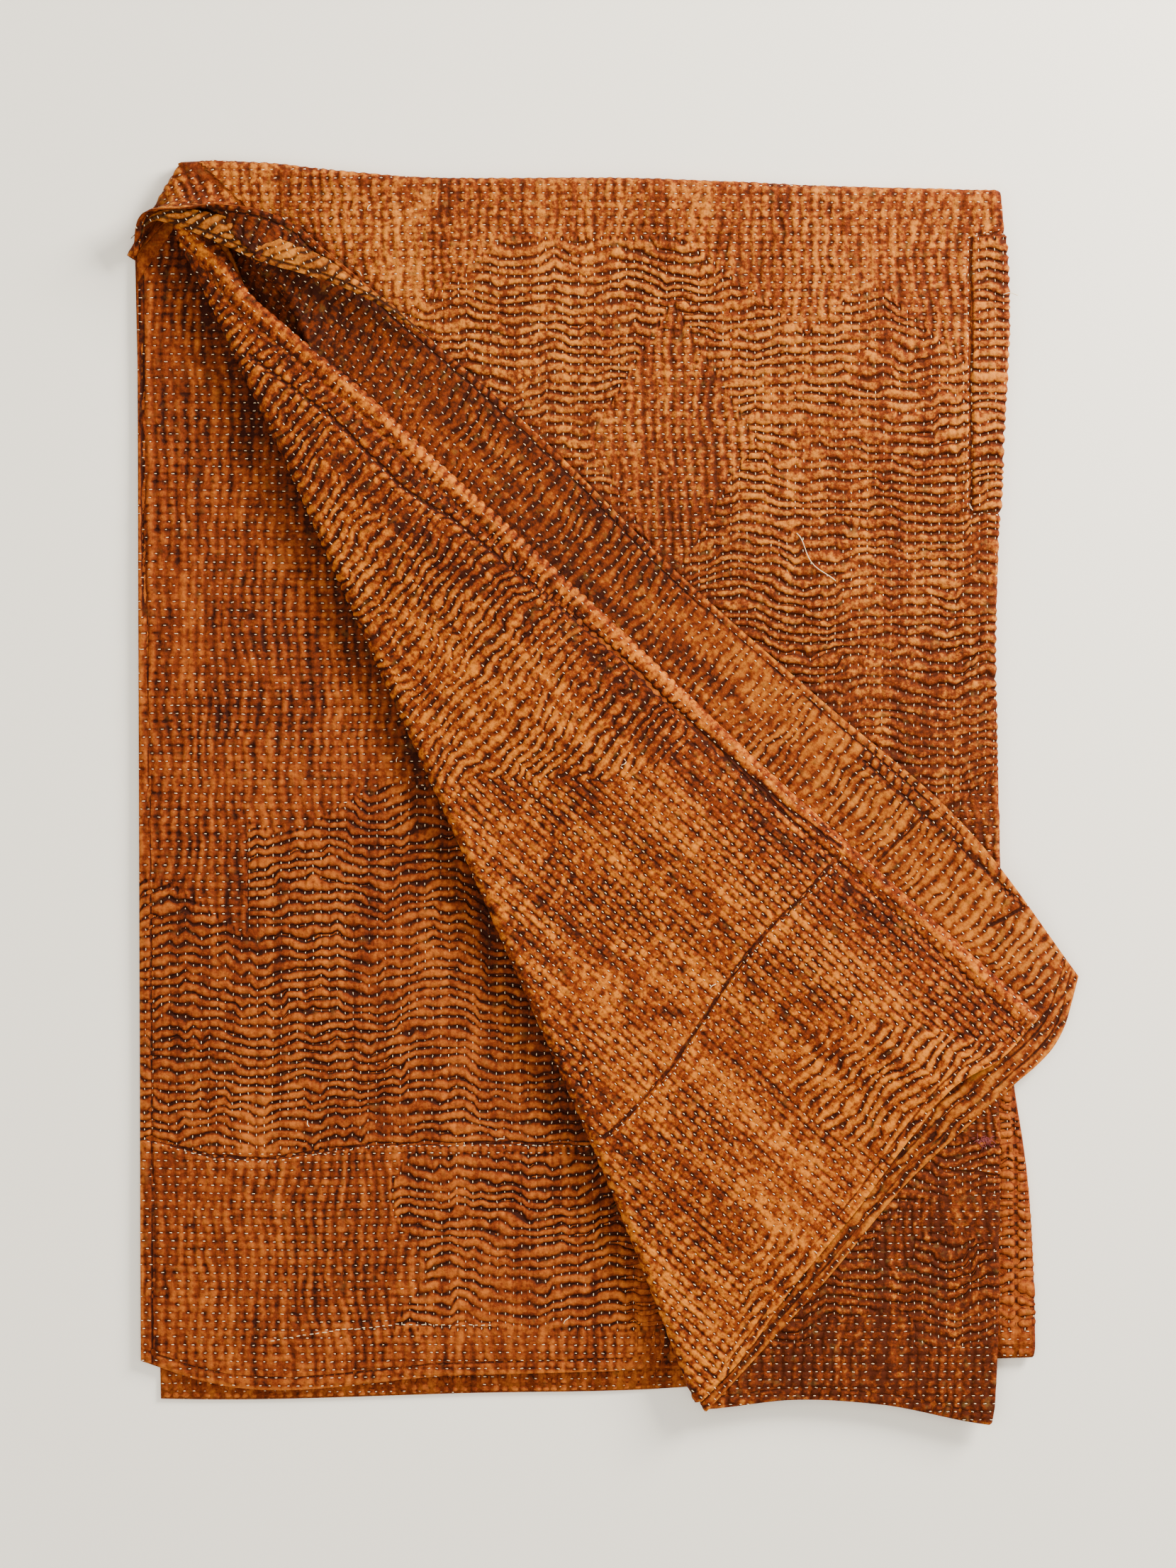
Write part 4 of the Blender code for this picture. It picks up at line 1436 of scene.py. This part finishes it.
# Long stitches sewn beside the seams and along a mended line near the bottom hem
LONG_STITCHES = (beside(PATCH_SEAM, -2.6), beside(SMALL_PATCH_SEAM, 2.0), beside(LEFT_SEAM, -3.0),
                 beside(FLAP_CROSS_SEAM, 3.0))
pieces.append(hand_stitches("stitches_seams", LONG_STITCHES, 6.2, 2.6))
pieces.append(hand_stitches("stitches_mended", [MENDED_LINE], 5.4, 4.2))

# A dark red darn: its place, how far its threads spread across and along, their number and length,
# and the two ways that they lie
DARN_PLACE = pixel(1386, 1607)
DARN_SPREAD = (3.85, 2.45)
DARN_THREADS = 46
DARN_LENGTH = 6.0
DARN_WAYS = (0.3, 1.8)
DARN_SWING = 0.35


def make_darn():
    """Crossing threads that close a worn spot."""
    found = []
    for _ in range(DARN_THREADS):
        x, y = (middle + rng.normal(0, spread) for middle, spread in zip(DARN_PLACE, DARN_SPREAD))
        turn = rng.choice(DARN_WAYS) + rng.normal(0, DARN_SWING)
        found.append((*surface_at(x, y), np.array((math.cos(turn), math.sin(turn), 0.0))))
    dark_red = plain_material("dark_red_thread", DARK_RED, 0.7, 0.2)
    return thread_piece("darn", *(np.array(one) for one in zip(*found)), DARN_LENGTH, dark_red)


# Loose ends of thread: the pixel where each starts, its heading in radians and its length
LOOSE_ENDS = ((1412, 419, 0.1, 12), (1177, 821, 2.4, 50), (520, 300, 1.2, 5), (505, 385, 5.6, 6),
              (1486, 1324, 5.2, 9), (1490, 1330, 4.4, 8), (1484, 1318, 5.8, 8), (795, 1865, 1.0, 6),
              (437, 1588, 2.0, 5), (700, 1608, 0.4, 7), (1000, 1392, 0.8, 6), (1418, 727, 3.4, 6),
              (1369, 722, 2.2, 6), (560, 1075, 1.5, 4), (883, 1075, 3.9, 5))
LOOSE_RADIUS = 0.32
LOOSE_SIDES = 5


def make_loose_ends():
    """Thin bent tubes that lie on the cloth."""
    points = []
    quads = []
    steps = np.linspace(0, 1, 13)[:, None]
    for u, v, turn, reach in LOOSE_ENDS:
        start = surface_at(*pixel(u, v))
        if start is None:
            continue
        bend = turn + 0.15 * np.sin(5.0 * steps)
        path = start[0] + reach * steps * np.concatenate((np.cos(bend), np.sin(bend), 0 * bend), axis=1)
        path[:, 2] += 0.5 + 1.2 * np.sin(math.pi * steps[:, 0])
        body, sides = tube(path, LOOSE_RADIUS, LOOSE_SIDES)
        quads.append(sides + sum(len(one) for one in points))
        points.append(body)
    return quad_piece("loose_threads", np.concatenate(points), np.concatenate(quads), thread)


pieces.append(make_darn())
pieces.append(make_loose_ends())

# The camera looks straight down, as in the photograph
CAMERA_HEIGHT = 3.0
FRAME_PIXELS = (1659, 2212)
SENSOR = 24.0
camera_data = bpy.data.cameras.new("camera")
camera = bpy.data.objects.new("camera", camera_data)
bpy.context.scene.collection.objects.link(camera)
centre_x, centre_y = pixel(FRAME_PIXELS[0] / 2, FRAME_PIXELS[1] / 2)
camera.location = above_place(centre_x, centre_y, CAMERA_HEIGHT)
camera_data.sensor_fit = "VERTICAL"
camera_data.sensor_height = SENSOR
camera_data.lens = SENSOR * CAMERA_HEIGHT / (FRAME_PIXELS[1] * PIXEL * MM)
bpy.context.scene.camera = camera

# Lights: each one's place, size and colour in metres and shares, and its power in watts
LIGHTS = (("window", (1.9, 1.5, 1.15), 1.0, 200, (1.0, 0.975, 0.94)),
          ("room", (-0.6, -0.4, 2.6), 3.0, 60, (1.0, 0.985, 0.965)))
SKY_COLOR = (1.0, 0.97, 0.92, 1.0)
SKY_STRENGTH = 0.70
for name, place, size, power, color in LIGHTS:
    data = bpy.data.lights.new(name, "AREA")
    data.size = size
    data.energy = power
    data.color = color
    light = bpy.data.objects.new(name, data)
    light.location = place
    light.rotation_euler = (-Vector(place)).to_track_quat("-Z", "Y").to_euler()
    bpy.context.scene.collection.objects.link(light)
world = bpy.data.worlds.new("world")
world.use_nodes = True
world.node_tree.nodes["Background"].inputs["Color"].default_value = SKY_COLOR
world.node_tree.nodes["Background"].inputs["Strength"].default_value = SKY_STRENGTH
bpy.context.scene.world = world

FLOOR = 6.0
floor_mesh = bpy.data.meshes.new("floor")
floor_mesh.from_pydata([(-FLOOR, -FLOOR, 0), (FLOOR, -FLOOR, 0), (FLOOR, FLOOR, 0), (-FLOOR, FLOOR, 0)], [],
                       [(0, 1, 2, 3)])
floor_mesh.materials.append(plain_material("pale_floor", FLOOR_COLOR, 0.6))
floor = bpy.data.objects.new("floor", floor_mesh)
bpy.context.scene.collection.objects.link(floor)

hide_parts("throw")
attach(core, "root")
for piece in pieces:
    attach(piece, "root")
